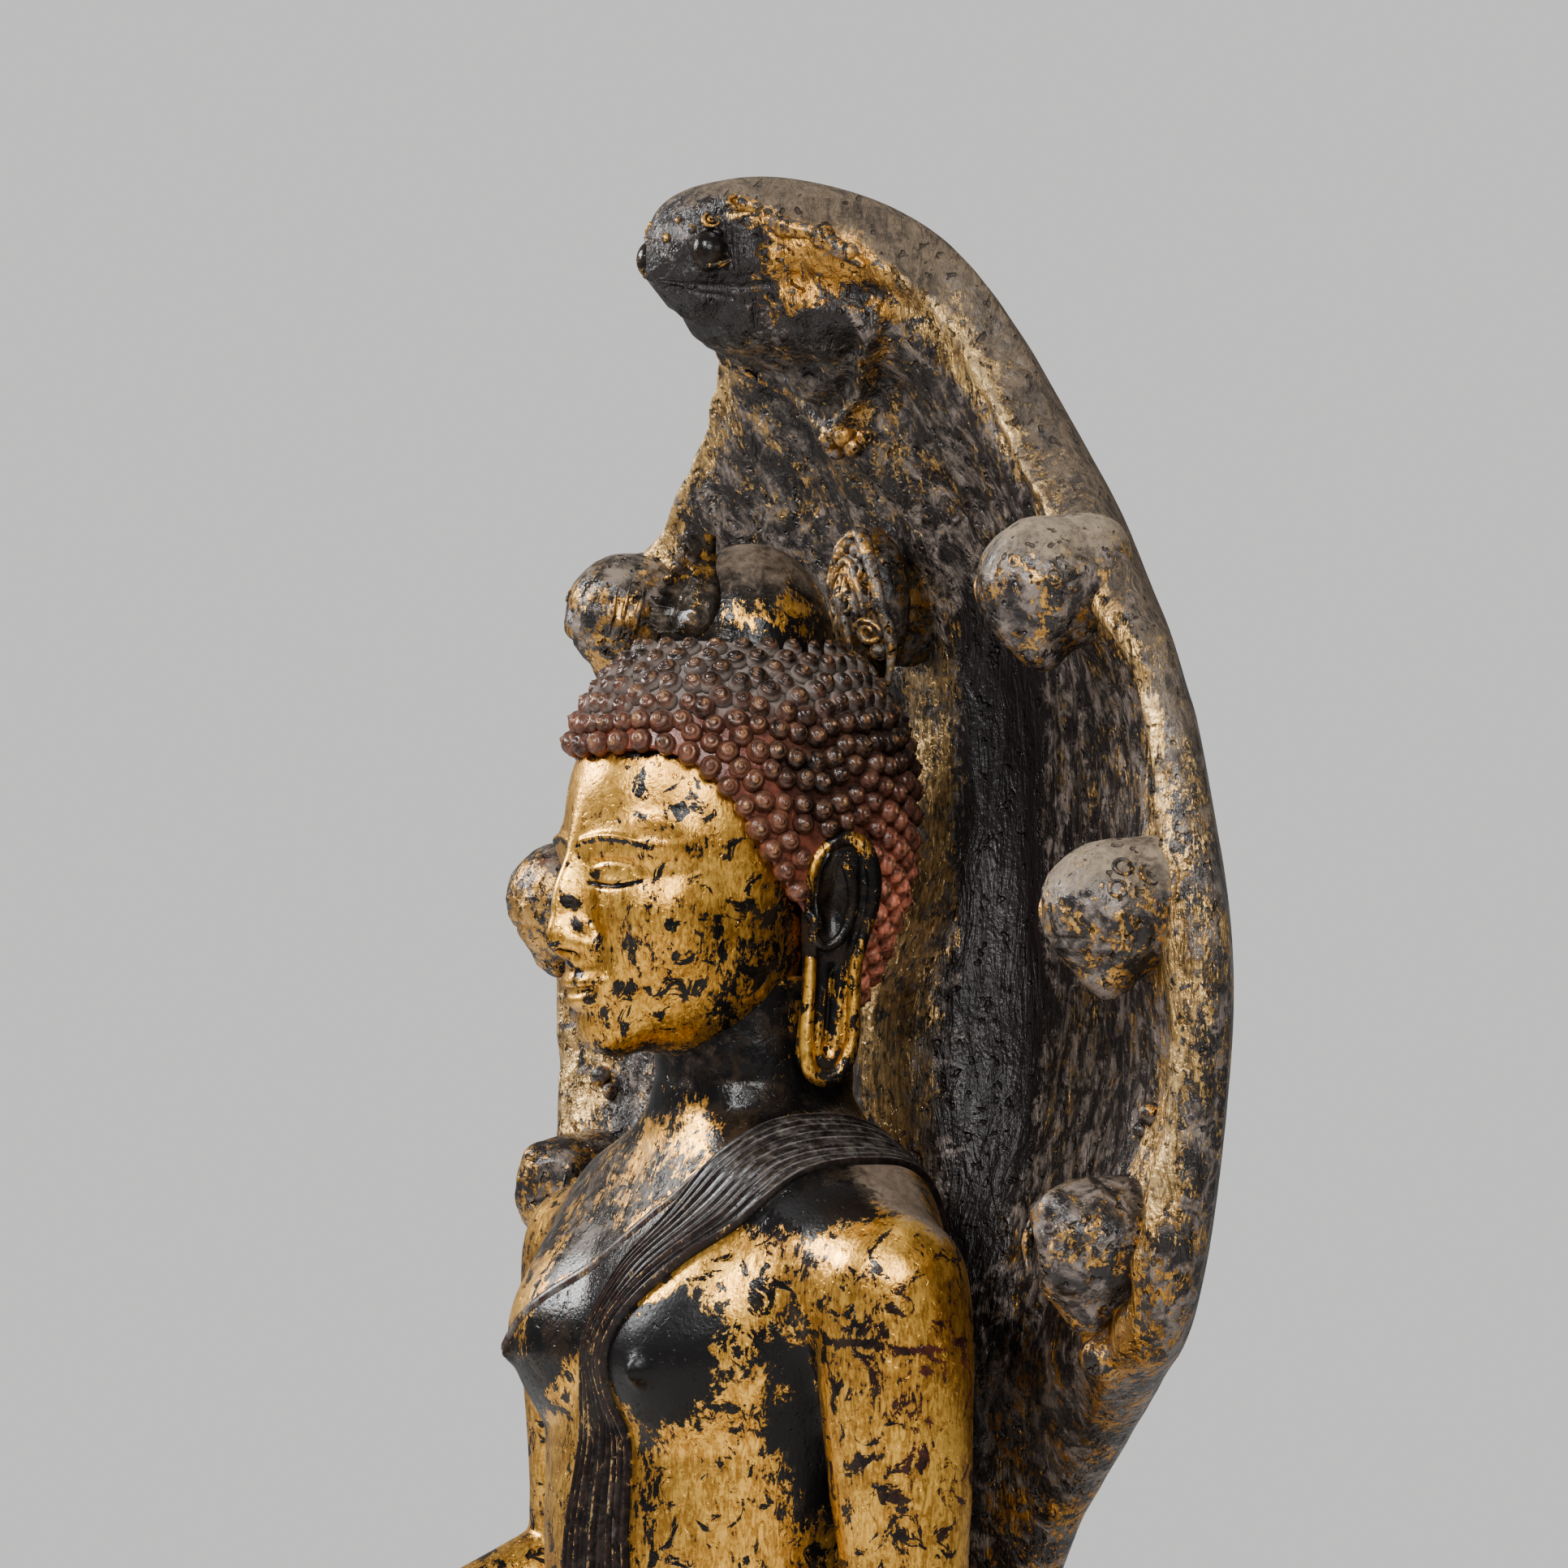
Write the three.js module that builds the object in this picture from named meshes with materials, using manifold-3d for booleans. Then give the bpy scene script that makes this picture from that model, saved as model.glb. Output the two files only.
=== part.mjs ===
// A seated figure sheltered by the seven-headed hood of a great snake, on a throne of three snake coils.
// Millimetres, +Z up, the figure faces -Y. The origin is the middle of the throne's underside.
import * as THREE from "three";
import { mergeVertices } from "three/addons/utils/BufferGeometryUtils.js";
import Module from "manifold-3d";

const { PI, abs, acos, asin, cos, exp, hypot, max, min, sign, sin } = Math;
const wasm = await Module();
wasm.setup();

// Driving sizes.
const figureHeight = 1007; // seat to the top of the hair knot
const coilCount = 3;
const coilHeight = 115;
const throneLedge = 20; // coil that shows outside each knee
const throneApron = 58; // coil that shows before the shins and behind the hood's stem
const hoodWidth = 840;
const hoodThickness = 66;
const hoodCurl = 105; // how far the hood's rim comes forward of its spine
const trunkRidge = 26; // swelling of the snake's trunk on the hood's front, behind the curls
const headroom = 243; // top of the great head above the top of the hair knot
const headReach = 262; // the great head's snout forward of the hood's spine
const sideHeadRadius = 43;
const hoodGap = 12; // back of the curls to the trunk
const seatGap = 0.3;

// The figure is laid out in faces, the length from hairline to chin.
const facesTall = 5.035;
const face = figureHeight / facesTall;
const throneHeight = coilCount * coilHeight;

const point = (x, y, z) => new THREE.Vector3(x, y, z);
const faces = (x, y, z) => point(x * face, y * face, z * face);
const mirrored = (v) => point(-v.x, v.y, v.z);
const power = (value, exponent) => sign(value) * abs(value) ** exponent;
const degrees = (angle) => (angle * PI) / 180;

// Reads a row of numbers at t from 0 to 1, on a curve through all of them.
function along(values, t) {
  const last = values.length - 1;
  const at = min(max(t, 0), 1) * last;
  const i = min(Math.floor(at), last - 1);
  const pick = (k) => values[min(max(k, 0), last)];
  const [a, b, c, d] = [pick(i - 1), pick(i), pick(i + 1), pick(i + 2)];
  const f = at - i;
  return b + 0.5 * f * (c - a + f * (2 * a - 5 * b + 4 * c - d + f * (3 * (b - c) + d - a)));
}

// Reads a table of [key, value, ...] rows at a key, each column on its own curve.
function tableAt(rows, key) {
  const last = rows.length - 1;
  let i = rows.findIndex((row) => row[0] > key) - 1;
  if (i < 0) i = key < rows[0][0] ? 0 : last - 1;
  const f = min(max((key - rows[i][0]) / (rows[i + 1][0] - rows[i][0]), 0), 1);
  return rows[0].slice(1).map((_, column) => along(rows.map((row) => row[column + 1]), (i + f) / last));
}

// A closed skin over rings of equal length, each anticlockwise seen from the last ring's end.
function skin(rings, firstHub, lastHub) {
  const count = rings[0].length;
  const middle = (ring) => ring.reduce((sum, p) => sum.add(p), point(0, 0, 0)).divideScalar(count);
  const hubs = [firstHub ?? middle(rings[0]), lastHub ?? middle(rings.at(-1))];
  const vertices = [...rings.flat(), ...hubs];
  const top = (rings.length - 1) * count;
  const hub = rings.length * count;
  const index = [];
  for (let j = 0; j < count; j++) {
    const next = (j + 1) % count;
    for (let base = 0; base < top; base += count) {
      const [a, b, c, d] = [base + j, base + next, base + count + j, base + count + next];
      index.push(a, b, d, a, d, c);
    }
    index.push(hub, next, j, hub + 1, top + j, top + next);
  }
  const geometry = new THREE.BufferGeometry().setFromPoints(vertices);
  geometry.setIndex(index);
  return geometry;
}

// A solid body from a closed geometry.
function solid(geometry) {
  geometry.deleteAttribute("normal");
  geometry.deleteAttribute("uv");
  const merged = mergeVertices(geometry, 1e-3);
  return new wasm.Manifold(
    new wasm.Mesh({
      numProp: 3,
      vertProperties: new Float32Array(merged.attributes.position.array),
      triVerts: new Uint32Array(merged.index.array),
    }),
  );
}

const joined = (solids) => solids.reduce((sum, next) => sum.add(next));

// Only the outer shell, with any pocket sealed inside it filled.
const filled = (body) => joined(body.decompose().filter((shell) => shell.volume() > 0));

function meshOf(body, name, material) {
  const { vertProperties, triVerts } = body.getMesh();
  const geometry = new THREE.BufferGeometry();
  geometry.setAttribute("position", new THREE.BufferAttribute(vertProperties, 3));
  geometry.setIndex(new THREE.BufferAttribute(triVerts, 1));
  geometry.computeVertexNormals();
  const mesh = new THREE.Mesh(geometry, material);
  mesh.name = name;
  return mesh;
}

// A rounded limb along a curve: radii are read along it, and flat squashes the section across the given normal.
function limb(points, radii, { sides = 10, steps = 7, flat = 1, normal } = {}) {
  const curve = new THREE.CatmullRomCurve3(points, false, "centripetal");
  const rings = [];
  const ring = (centre, tangent, radius) => {
    const across = (normal ?? (abs(tangent.z) > 0.9 ? point(0, 1, 0) : point(0, 0, 1))).clone();
    across.addScaledVector(tangent, -across.dot(tangent)).normalize();
    const side = across.clone().cross(tangent);
    return Array.from({ length: sides }, (_, k) => {
      const angle = (2 * PI * k) / sides;
      return centre
        .clone()
        .addScaledVector(side, radius * cos(angle))
        .addScaledVector(across, radius * flat * sin(angle));
    });
  };
  for (let i = 0; i <= steps; i++)
    rings.push(ring(curve.getPointAt(i / steps), curve.getTangentAt(i / steps), along(radii, i / steps)));
  const rounding = degrees(50);
  const end = (t, radius, way) => {
    const tangent = curve.getTangentAt(t);
    const out = (share) => curve.getPointAt(t).addScaledVector(tangent, way * radius * flat * share);
    return { ring: ring(out(sin(rounding)), tangent, radius * cos(rounding)), tip: out(1) };
  };
  const [start, finish] = [end(0, radii[0], -1), end(1, radii.at(-1), 1)];
  return solid(skin([start.ring, ...rings, finish.ring], start.tip, finish.tip));
}

// The trunk of the body: [height, half width, depth before the axis, depth behind it], in faces.
const torsoTable = [
  [-0.05, 0.9, 0.74, 0.5],
  [0.65, 0.85, 0.71, 0.475],
  [1.0, 0.745, 0.68, 0.41],
  [1.4, 0.665, 0.655, 0.36],
  [1.75, 0.7, 0.65, 0.37],
  [2.08, 0.79, 0.61, 0.425],
  [2.25, 0.84, 0.62, 0.44],
  [2.42, 0.89, 0.63, 0.46],
  [2.65, 0.95, 0.55, 0.46],
  [2.85, 0.93, 0.44, 0.42],
  [2.97, 0.8, 0.38, 0.39],
  [3.07, 0.55, 0.33, 0.36],
  [3.17, 0.375, 0.31, 0.33],
  [3.28, 0.335, 0.3, 0.325],
  [3.6, 0.32, 0.31, 0.33],
];

function torso() {
  const sides = 22;
  const squareness = 0.86;
  const rings = torsoTable.map(([z, halfWidth, front, back]) => {
    return Array.from({ length: sides }, (_, k) => {
      const angle = (2 * PI * k) / sides;
      const y = power(sin(angle), squareness);
      return faces(halfWidth * power(cos(angle), squareness), y * (y < 0 ? front : back), z);
    });
  });
  const breastLine = [faces(0.42, -0.33, 2.4), faces(0.45, -0.545, 2.37)];
  const breast = limb(breastLine, [0.3 * face, 0.13 * face], { sides: 8, steps: 2 });
  return [solid(skin(rings)), breast, mirrorX(breast)];
}

const mirrorX = (body) => body.mirror([1, 0, 0]);

// Both upper arms hang straight. The left forearm goes to the lap and the right one to the knee.
const shoulder = faces(1.0, -0.055, 2.62);
const leftElbow = faces(1.06, -0.02, 1.32);
const rightElbow = faces(-1.12, -0.03, 1.53);
const leftWrist = faces(0.42, -0.93, 0.9);
const rightWrist = faces(-1.32, -1.1, 0.98);

const upperArm = (from, elbow) =>
  limb([from, elbow], [0.255 * face, 0.25 * face, 0.21 * face, 0.19 * face], { steps: 3 });

const foreArm = (elbow, wrist) => limb([elbow, wrist], [0.19 * face, 0.195 * face, 0.115 * face], { steps: 3 });

// A hand: a flat palm and five fingers spread across it. Curl drops the fingertips by that share of their length.
function hand({ wrist, forward, spread, normal, curl }) {
  const at = (ahead, across, up) =>
    wrist
      .clone()
      .addScaledVector(forward, ahead * face)
      .addScaledVector(spread, across * face)
      .addScaledVector(normal, up * face);
  const palm = limb([at(-0.02, 0, 0), at(0.42, 0, 0)], [0.12, 0.185, 0.19].map((r) => r * face), {
    sides: 8,
    steps: 3,
    flat: 0.45,
    normal,
  });
  const fingerLengths = [0.36, 0.42, 0.4, 0.33];
  const fingers = fingerLengths.map((length, k) => {
    const across = (1.5 - k) * 0.098;
    const [knuckle, joint] = [at(0.42, across, 0), at(0.42 + length / 2, across * 1.06, -curl * length * 0.3)];
    const tip = at(0.42 + length, across, -curl * length);
    return limb([knuckle, joint, tip], [0.052 * face, 0.05 * face, 0.04 * face], { sides: 5, steps: 2 });
  });
  const thumb = limb(
    [at(0.12, 0.14, 0), at(0.28, 0.25, 0.02), at(0.47, 0.27, 0.03)],
    [0.07, 0.06, 0.045].map((r) => r * face),
    { sides: 5, steps: 2 },
  );
  return [palm, thumb, ...fingers];
}

const leftHand = () =>
  hand({
    wrist: leftWrist,
    forward: point(-1, -0.12, -0.02).normalize(),
    spread: point(-0.12, -0.98, 0.1).normalize(),
    normal: point(0, 0.1, 1).normalize(),
    curl: -0.12,
  });

const rightHand = () =>
  hand({
    wrist: rightWrist,
    forward: point(-0.04, -0.62, -0.78).normalize(),
    spread: point(1, -0.03, -0.03).normalize(),
    normal: point(-0.03, -0.78, 0.62).normalize(),
    curl: 0.4,
  });

// Crossed legs, the right shin lying over the left one with its sole turned up.
function legs() {
  const thigh = (hip, knee) => limb([hip, knee], [0.46, 0.4, 0.31].map((r) => r * face), { steps: 3 });
  const shin = (points) => limb(points, [0.31, 0.27, 0.21, 0.15].map((r) => r * face), { steps: 5 });
  return [
    thigh(faces(0.42, 0.02, 0.4), faces(1.76, -0.78, 0.3)),
    thigh(faces(-0.42, 0.02, 0.4), faces(-1.76, -0.78, 0.34)),
    shin([faces(1.78, -0.8, 0.3), faces(0.9, -1.2, 0.25), faces(0, -1.3, 0.2), faces(-0.75, -1.28, 0.17)]),
    shin([faces(-1.78, -0.8, 0.36), faces(-0.95, -1.08, 0.48), faces(0, -1.05, 0.6), faces(0.72, -0.86, 0.7)]),
  ];
}

const foot = (heel, ball, sole) =>
  limb([heel, ball], [0.17 * face, 0.2 * face], { sides: 8, steps: 2, flat: 0.6, normal: sole });

function toes(heel, ball, sole) {
  const forward = ball.clone().sub(heel).normalize();
  const across = forward.clone().cross(sole).normalize();
  return [-2, -1, 0, 1, 2].map((k) => {
    const root = ball.clone().addScaledVector(across, 0.085 * k * face);
    const reach = (0.27 - 0.02 * abs(k - 2)) * face;
    const radius = (k === 2 ? 0.058 : 0.046) * face;
    return limb([root, root.clone().addScaledVector(forward, reach)], [radius, radius], { sides: 5, steps: 1 });
  });
}

// The right foot lies sole up on the left thigh; the left one is tucked under the right thigh.
function feet() {
  const upper = [faces(0.78, -0.86, 0.8), faces(1.32, -0.6, 0.84), point(-0.1, -0.15, 1).normalize()];
  const lower = [faces(-0.78, -1.26, 0.2), faces(-1.3, -1.0, 0.16), point(0, 0.3, 1)];
  return [foot(...upper), ...toes(...upper), foot(...lower)];
}

// Ellipsoids that melt into the head: [x, y, z, radius x, radius y, radius z, melt], in faces.
const headBlobs = [
  [0, -0.045, 4.16, 0.425, 0.56, 0.5, 0],
  [0, -0.24, 3.93, 0.375, 0.38, 0.5, 0.12],
  [0, -0.28, 3.7, 0.3, 0.34, 0.36, 0.12],
  [0.17, -0.16, 3.66, 0.14, 0.2, 0.2, 0.12],
  [0, -0.53, 3.44, 0.12, 0.1, 0.1, 0.1],
  [0.185, -0.44, 3.8, 0.15, 0.155, 0.16, 0.12],
  [0, -0.585, 3.93, 0.045, 0.1, 0.16, 0.06],
  [0, -0.655, 3.82, 0.048, 0.09, 0.12, 0.05],
  [0, -0.69, 3.725, 0.062, 0.085, 0.062, 0.04],
  [0.062, -0.64, 3.71, 0.045, 0.065, 0.045, 0.03],
  [0.17, -0.51, 4.035, 0.17, 0.08, 0.06, 0.08],
  [0.165, -0.515, 3.925, 0.098, 0.075, 0.052, 0.02],
  [0, -0.595, 3.6, 0.13, 0.06, 0.08, 0.08],
  [0, -0.62, 3.575, 0.105, 0.05, 0.03, 0.02],
  [0, -0.612, 3.525, 0.085, 0.05, 0.034, 0.012],
];

function headValue(p) {
  let value = Infinity;
  for (const [x, y, z, rx, ry, rz, melt] of headBlobs) {
    const next = (hypot((abs(p.x) - x) / rx, (p.y - y) / ry, (p.z - z) / rz) - 1) * min(rx, ry, rz);
    const near = melt && max(melt - abs(value - next), 0) / melt;
    value = min(value, next) - (near * near * melt) / 4;
  }
  return value;
}

// The head is met along rays from its middle, closer together over the face.
function head() {
  const [columns, rows, crowding] = [24, 18, 0.6];
  const middle = point(0, -0.08, 3.95);
  const hit = (direction) => {
    let [inside, outside] = [0.1, 1.1];
    for (let k = 0; k < 18; k++) {
      const t = (inside + outside) / 2;
      if (headValue(middle.clone().addScaledVector(direction, t)) < 0) inside = t;
      else outside = t;
    }
    return middle.clone().addScaledVector(direction, inside).multiplyScalar(face);
  };
  const rings = [];
  for (let i = 1; i < rows; i++) {
    const polar = PI * (i / rows);
    const ring = Array.from({ length: columns }, (_, k) => {
      const turn = (2 * PI * k) / columns;
      const azimuth = turn - crowding * sin(turn) - PI / 2;
      return hit(point(sin(polar) * cos(azimuth), sin(polar) * sin(azimuth), -cos(polar)));
    });
    rings.push(ring);
  }
  return solid(skin(rings));
}

// Snail curls: a cap from the hairline to the hair knot, raised at every second crossing of its grid.
const hairCentre = [0, -0.045, 4.2];
const hairRadii = { x: 0.48, y: 0.605, up: 0.57, down: 0.92 };
const knotRadius = 0.285;
const curlRise = 0.04;
const hairline = [4.335, 4.345, 4.34, 4.23, 3.93, 3.7, 3.52, 3.45, 3.43, 3.42]; // heights from brow to nape

function hair() {
  const [columns, curlRows] = [34, 6];
  const [cx, cy, cz] = hairCentre;
  const top = acos(knotRadius / hairRadii.y);
  const rings = [];
  for (let i = 0; i <= 2 * curlRows; i++) {
    const ring = Array.from({ length: columns }, (_, k) => {
      const turn = (2 * PI * k) / columns;
      const edgeHeight = along(hairline, 1 - abs(turn - PI) / PI);
      const edge = asin((edgeHeight - cz) / (edgeHeight < cz ? hairRadii.down : hairRadii.up));
      const latitude = edge + (top - edge) * (i / (2 * curlRows));
      const raised = i % 2 === 1 && (k + (i - 1) / 2) % 2 === 0;
      const swell = 1 + (raised ? curlRise / hairRadii.x : 0);
      const up = latitude < 0 ? hairRadii.down : hairRadii.up;
      return faces(
        cx + swell * hairRadii.x * cos(latitude) * sin(turn),
        cy - swell * hairRadii.y * cos(latitude) * cos(turn),
        cz + swell * up * sin(latitude),
      );
    });
    rings.push(ring);
  }
  return solid(skin(rings, faces(cx, cy, cz)));
}

// The smooth hair knot, and the leaf that stands before it.
function knot() {
  const [base, columns, rows] = [4.62, 16, 4];
  const profile = Array.from({ length: rows + 1 }, (_, k) => {
    const angle = (PI / 2) * (k / rows);
    return new THREE.Vector2(knotRadius * cos(angle) * face, (facesTall - base) * sin(angle) * face);
  });
  profile.unshift(new THREE.Vector2(0, 0));
  profile[profile.length - 1].x = 0;
  const geometry = new THREE.LatheGeometry(profile, columns);
  geometry.rotateX(PI / 2).translate(0, 0, base * face);
  return solid(geometry);
}

function leaf() {
  const { height, halfWidth, thickness, lean } = { height: 0.31, halfWidth: 0.13, thickness: 0.05, lean: 14 };
  const outline = [
    [-0.5, 0],
    [-1, 0.3],
    [-0.75, 0.62],
    [0, 1.06],
    [0.75, 0.62],
    [1, 0.3],
    [0.5, 0],
  ].map(([x, z]) => new THREE.Vector2(x * halfWidth * face, z * height * face));
  const geometry = new THREE.ExtrudeGeometry(new THREE.Shape(outline), {
    depth: thickness * face,
    bevelEnabled: false,
  });
  geometry.rotateX(PI / 2 - degrees(lean)).translate(0, -0.25 * face, 4.7 * face);
  return solid(geometry);
}

function ear() {
  const points = [faces(0.42, 0.05, 4.0), faces(0.455, 0.07, 3.86), faces(0.44, 0.05, 3.62), faces(0.42, 0.03, 3.32)];
  const radii = [0.085, 0.12, 0.085, 0.085].map((r) => r * face);
  return limb(points, radii, { sides: 8, steps: 4, flat: 0.42, normal: point(1, 0, 0) });
}

// The folded shawl over the left shoulder: its inner and outer edge, down the chest and down the back, in faces.
const shawlEdges = [
  [-0.08, -0.66, 1.0, 0.31, -0.63, 1.0],
  [-0.08, -0.645, 1.5, 0.32, -0.6, 1.5],
  [-0.05, -0.625, 2.0, 0.31, -0.61, 2.0],
  [0.02, -0.62, 2.35, 0.33, -0.6, 2.32],
  [0.12, -0.56, 2.62, 0.52, -0.52, 2.55],
  [0.26, -0.42, 2.86, 0.74, -0.38, 2.78],
  [0.36, -0.24, 3.08, 0.82, -0.2, 2.96],
  [0.4, 0.0, 3.16, 0.84, 0.0, 3.01],
  [0.38, 0.26, 3.06, 0.8, 0.24, 2.92],
  [0.36, 0.4, 2.78, 0.74, 0.38, 2.7],
  [0.3, 0.44, 2.3, 0.66, 0.38, 2.3],
  [0.26, 0.36, 1.6, 0.58, 0.28, 1.6],
];

function shawl() {
  const depth = 0.14;
  const pleats = [0.045, 0.025, 0.045, 0.025, 0.045];
  const inner = shawlEdges.map(([x, y, z]) => faces(x, y, z));
  const outer = shawlEdges.map(([, , , x, y, z]) => faces(x, y, z));
  const rings = inner.map((edge, k) => {
    const ahead = inner[min(k + 1, inner.length - 1)].clone().sub(inner[max(k - 1, 0)]);
    const across = outer[k].clone().sub(edge);
    const outward = across.clone().cross(ahead).normalize();
    const at = (share, lift) => edge.clone().addScaledVector(across, share).addScaledVector(outward, lift * face);
    return [at(0, -depth), ...pleats.map((rise, i) => at(i / (pleats.length - 1), rise)), at(1, -depth)];
  });
  return solid(skin(rings));
}

function figure() {
  const whole = joined([
    ...torso(),
    upperArm(shoulder, leftElbow),
    upperArm(mirrored(shoulder), rightElbow),
    foreArm(leftElbow, leftWrist),
    foreArm(rightElbow, rightWrist),
    ...leftHand(),
    ...rightHand(),
    ...legs(),
    ...feet(),
    head(),
    hair(),
    knot(),
    leaf(),
    ear(),
    mirrorX(ear()),
    shawl(),
  ]);
  const reach = 6 * face;
  const below = solid(new THREE.BoxGeometry(reach, reach, face).translate(0, 0, -face / 2));
  return filled(whole.subtract(below));
}

// The hood is a plate carried up its spine and over into the great head. Its spine stands behind the curls.
const curlsBack = (hairRadii.y * (1 + curlRise / hairRadii.x) + hairCentre[1]) * face;
const spineBack = curlsBack + hoodGap + trunkRidge + hoodThickness / 2;
const hoodHeight = figureHeight + headroom;

// [share of the way up, lean, half width, thickness, forward curl, squareness, raised edge], as shares of the sizes.
const hoodTable = [
  [0.0, 0.13, 0.29, 1.36, 0, 3.0, 0],
  [0.06, 0.14, 0.275, 1.36, 0, 3.0, 0],
  [0.14, 0.178, 0.275, 1.29, 0, 3.0, 0],
  [0.22, 0.207, 0.298, 1.21, 0, 3.2, 0],
  [0.284, 0.192, 0.406, 1.08, 0.063, 3.8, 0],
  [0.335, 0.143, 0.598, 1.02, 0.31, 4.4, 0],
  [0.376, 0.119, 0.813, 1.1, 0.677, 5.5, 0],
  [0.417, 0.102, 0.948, 1.04, 0.834, 6.5, 0],
  [0.515, 0.0155, 1.0, 0.92, 0.985, 7, 0],
  [0.6, -0.002, 1.0, 0.885, 1.0, 7, 0],
  [0.701, 0, 0.912, 0.79, 0.967, 7, 0],
  [0.742, 0.0225, 0.865, 0.74, 0.928, 7, 0],
  [0.783, 0.049, 0.785, 0.84, 0.884, 6.4, 0.05],
  [0.823, 0.108, 0.692, 1.02, 0.765, 5.6, 0.12],
  [0.869, 0.204, 0.55, 1.1, 0.533, 5, 0.2],
  [0.911, 0.338, 0.425, 1.14, 0.255, 4.4, 0.33],
  [0.938, 0.49, 0.33, 1.34, 0.05, 4, 0.45],
  [0.9495, 0.63, 0.252, 1.62, 0, 3.8, 0.5],
  [0.9555, 0.765, 0.17, 1.7, 0, 3.6, 0.5],
  [0.954, 0.875, 0.112, 1.5, 0, 3.2, 0.44],
  [0.949, 0.955, 0.072, 1.0, 0, 2.8, 0.3],
];

// The snake's trunk on the hood's front: [share of the way up, swelling, half width], as shares of the sizes.
const trunkTable = [
  [0.2, 0, 0.34],
  [0.284, 0.35, 0.36],
  [0.335, 0.6, 0.37],
  [0.376, 0.75, 0.35],
  [0.417, 1.05, 0.28],
  [0.46, 1.6, 0.23],
  [0.515, 2.2, 0.19],
  [0.56, 2.2, 0.18],
  [0.6, 1.55, 0.17],
  [0.65, 1.1, 0.17],
  [0.742, 1.0, 0.17],
  [0.823, 0.8, 0.16],
  [0.88, 0.3, 0.14],
  [0.92, 0, 0.12],
];

// How far a point of a hood row stands behind the row's spine. Across is its share of the row's half width.
function hoodDepth(row, across, front) {
  const [rise, , width, thickness, curl, squareness, raised] = row;
  const [swelling, spread] = tableAt(trunkTable, rise);
  const edge = max(1 - abs(across) ** squareness, 0);
  const half = (thickness * hoodThickness) / 2;
  const ridge = swelling * trunkRidge * exp(-(((abs(across) * width) / spread) ** 4)) * edge;
  const forward = curl * hoodCurl * abs(across) ** 1.8;
  const face = front ? -half * (1 + raised) * edge ** (1 / 2.9) - ridge : half * (1 - raised) * edge ** (1 / 2.1);
  return raised * half + face - forward;
}

function hoodPlate() {
  const place = ([rise, lean]) => point(0, spineBack - lean * headReach, rise * hoodHeight);
  const rings = hoodTable.map((row, i) => {
    const ahead = place(hoodTable[min(i + 1, hoodTable.length - 1)]).sub(place(hoodTable[max(i - 1, 0)]));
    if (i === 0) ahead.set(0, 0, 1);
    const outward = ahead.normalize().cross(point(1, 0, 0));
    const at = (across, front) =>
      place(row)
        .add(point((across * row[2] * hoodWidth) / 2, 0, 0))
        .addScaledVector(outward, hoodDepth(row, across, front));
    const trunk = min(tableAt(trunkTable, row[0])[1] / row[2], 0.5);
    const wing = [0.3, 0.62, 0.86, 0.96].map((share) => 1.25 * trunk + share * (1 - 1.25 * trunk));
    const shares = [0.6 * trunk, 0.9 * trunk, 1.25 * trunk, ...wing];
    const behind = [0.85, 0.4, -0.4, -0.85].map((share) => at(share, false));
    const before = [...shares.map((share) => -share).reverse(), 0, ...shares].map((share) => at(share, true));
    return [at(1, true), ...behind, at(-1, true), ...before];
  });
  return solid(skin(rings, undefined, point(0, spineBack - 1.045 * headReach, 0.9435 * hoodHeight)));
}

// Three pairs of side heads before the hood's face near its rim: [share of half width, share of height, how far before].
const sideHeads = [
  [0.657, 0.7766, 0.88],
  [0.8536, 0.6134, 0.88],
  [0.8119, 0.4462, 0.69],
];

function sideHead([share, rise, before]) {
  const x = (share * hoodWidth) / 2;
  const z = rise * hoodHeight;
  const r = sideHeadRadius;
  const row = [rise, ...tableAt(hoodTable, rise)];
  const face = spineBack - row[1] * headReach + hoodDepth(row, share / row[2], true);
  const front = point(x, face - (before + 0.1) * r, z - 0.05 * r);
  return limb([point(x, face + 0.3 * r, z + 0.1 * r), front], [0.7 * r, r, 0.93 * r], { steps: 3 });
}

function greatEye() {
  const radius = 0.3 * sideHeadRadius;
  const from = point(2 * radius, spineBack - 0.93 * headReach, 0.957 * hoodHeight);
  return limb([from, from.clone().add(point(radius, -radius / 2, 0))], [radius, radius], { sides: 8, steps: 1 });
}

function hood() {
  const near = [...sideHeads.map(sideHead), greatEye()];
  return joined([hoodPlate(), ...near, ...near.map(mirrorX)]);
}

// The throne: one fat ring of the snake's body for each coil, closed in the middle.
const kneeReach = 2.09; // faces from the axis to the outside of a knee
const shinReach = 1.56; // faces from the axis to the front of the shins
const stemBack = spineBack - hoodTable[0][1] * headReach + (hoodTable[0][3] * hoodThickness) / 2;
const throneHalfWidth = kneeReach * face + throneLedge;
const throneHalfDepth = (shinReach * face + stemBack) / 2 + throneApron;
const axisSetback = (shinReach * face - stemBack) / 2;

function throne() {
  const [columns, taper] = [26, 6];
  const arcs = [-70, -36, 0, 36, 70];
  const tube = coilHeight / 2;
  const ring = (z, inset) =>
    Array.from({ length: columns }, (_, k) => {
      const turn = (2 * PI * k) / columns;
      return point((throneHalfWidth - inset) * cos(turn), (throneHalfDepth - inset) * sin(turn), z);
    });
  const rings = [ring(0, tube * 0.7)];
  for (let coil = 0; coil < coilCount; coil++)
    for (const arc of arcs) {
      const inset = tube * (1 - cos(degrees(arc))) + taper * coil;
      rings.push(ring(coilHeight * (coil + 0.5) + tube * sin(degrees(arc)), inset));
    }
  rings.push(ring(throneHeight, tube + taper * coilCount));
  return solid(skin(rings));
}

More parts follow.
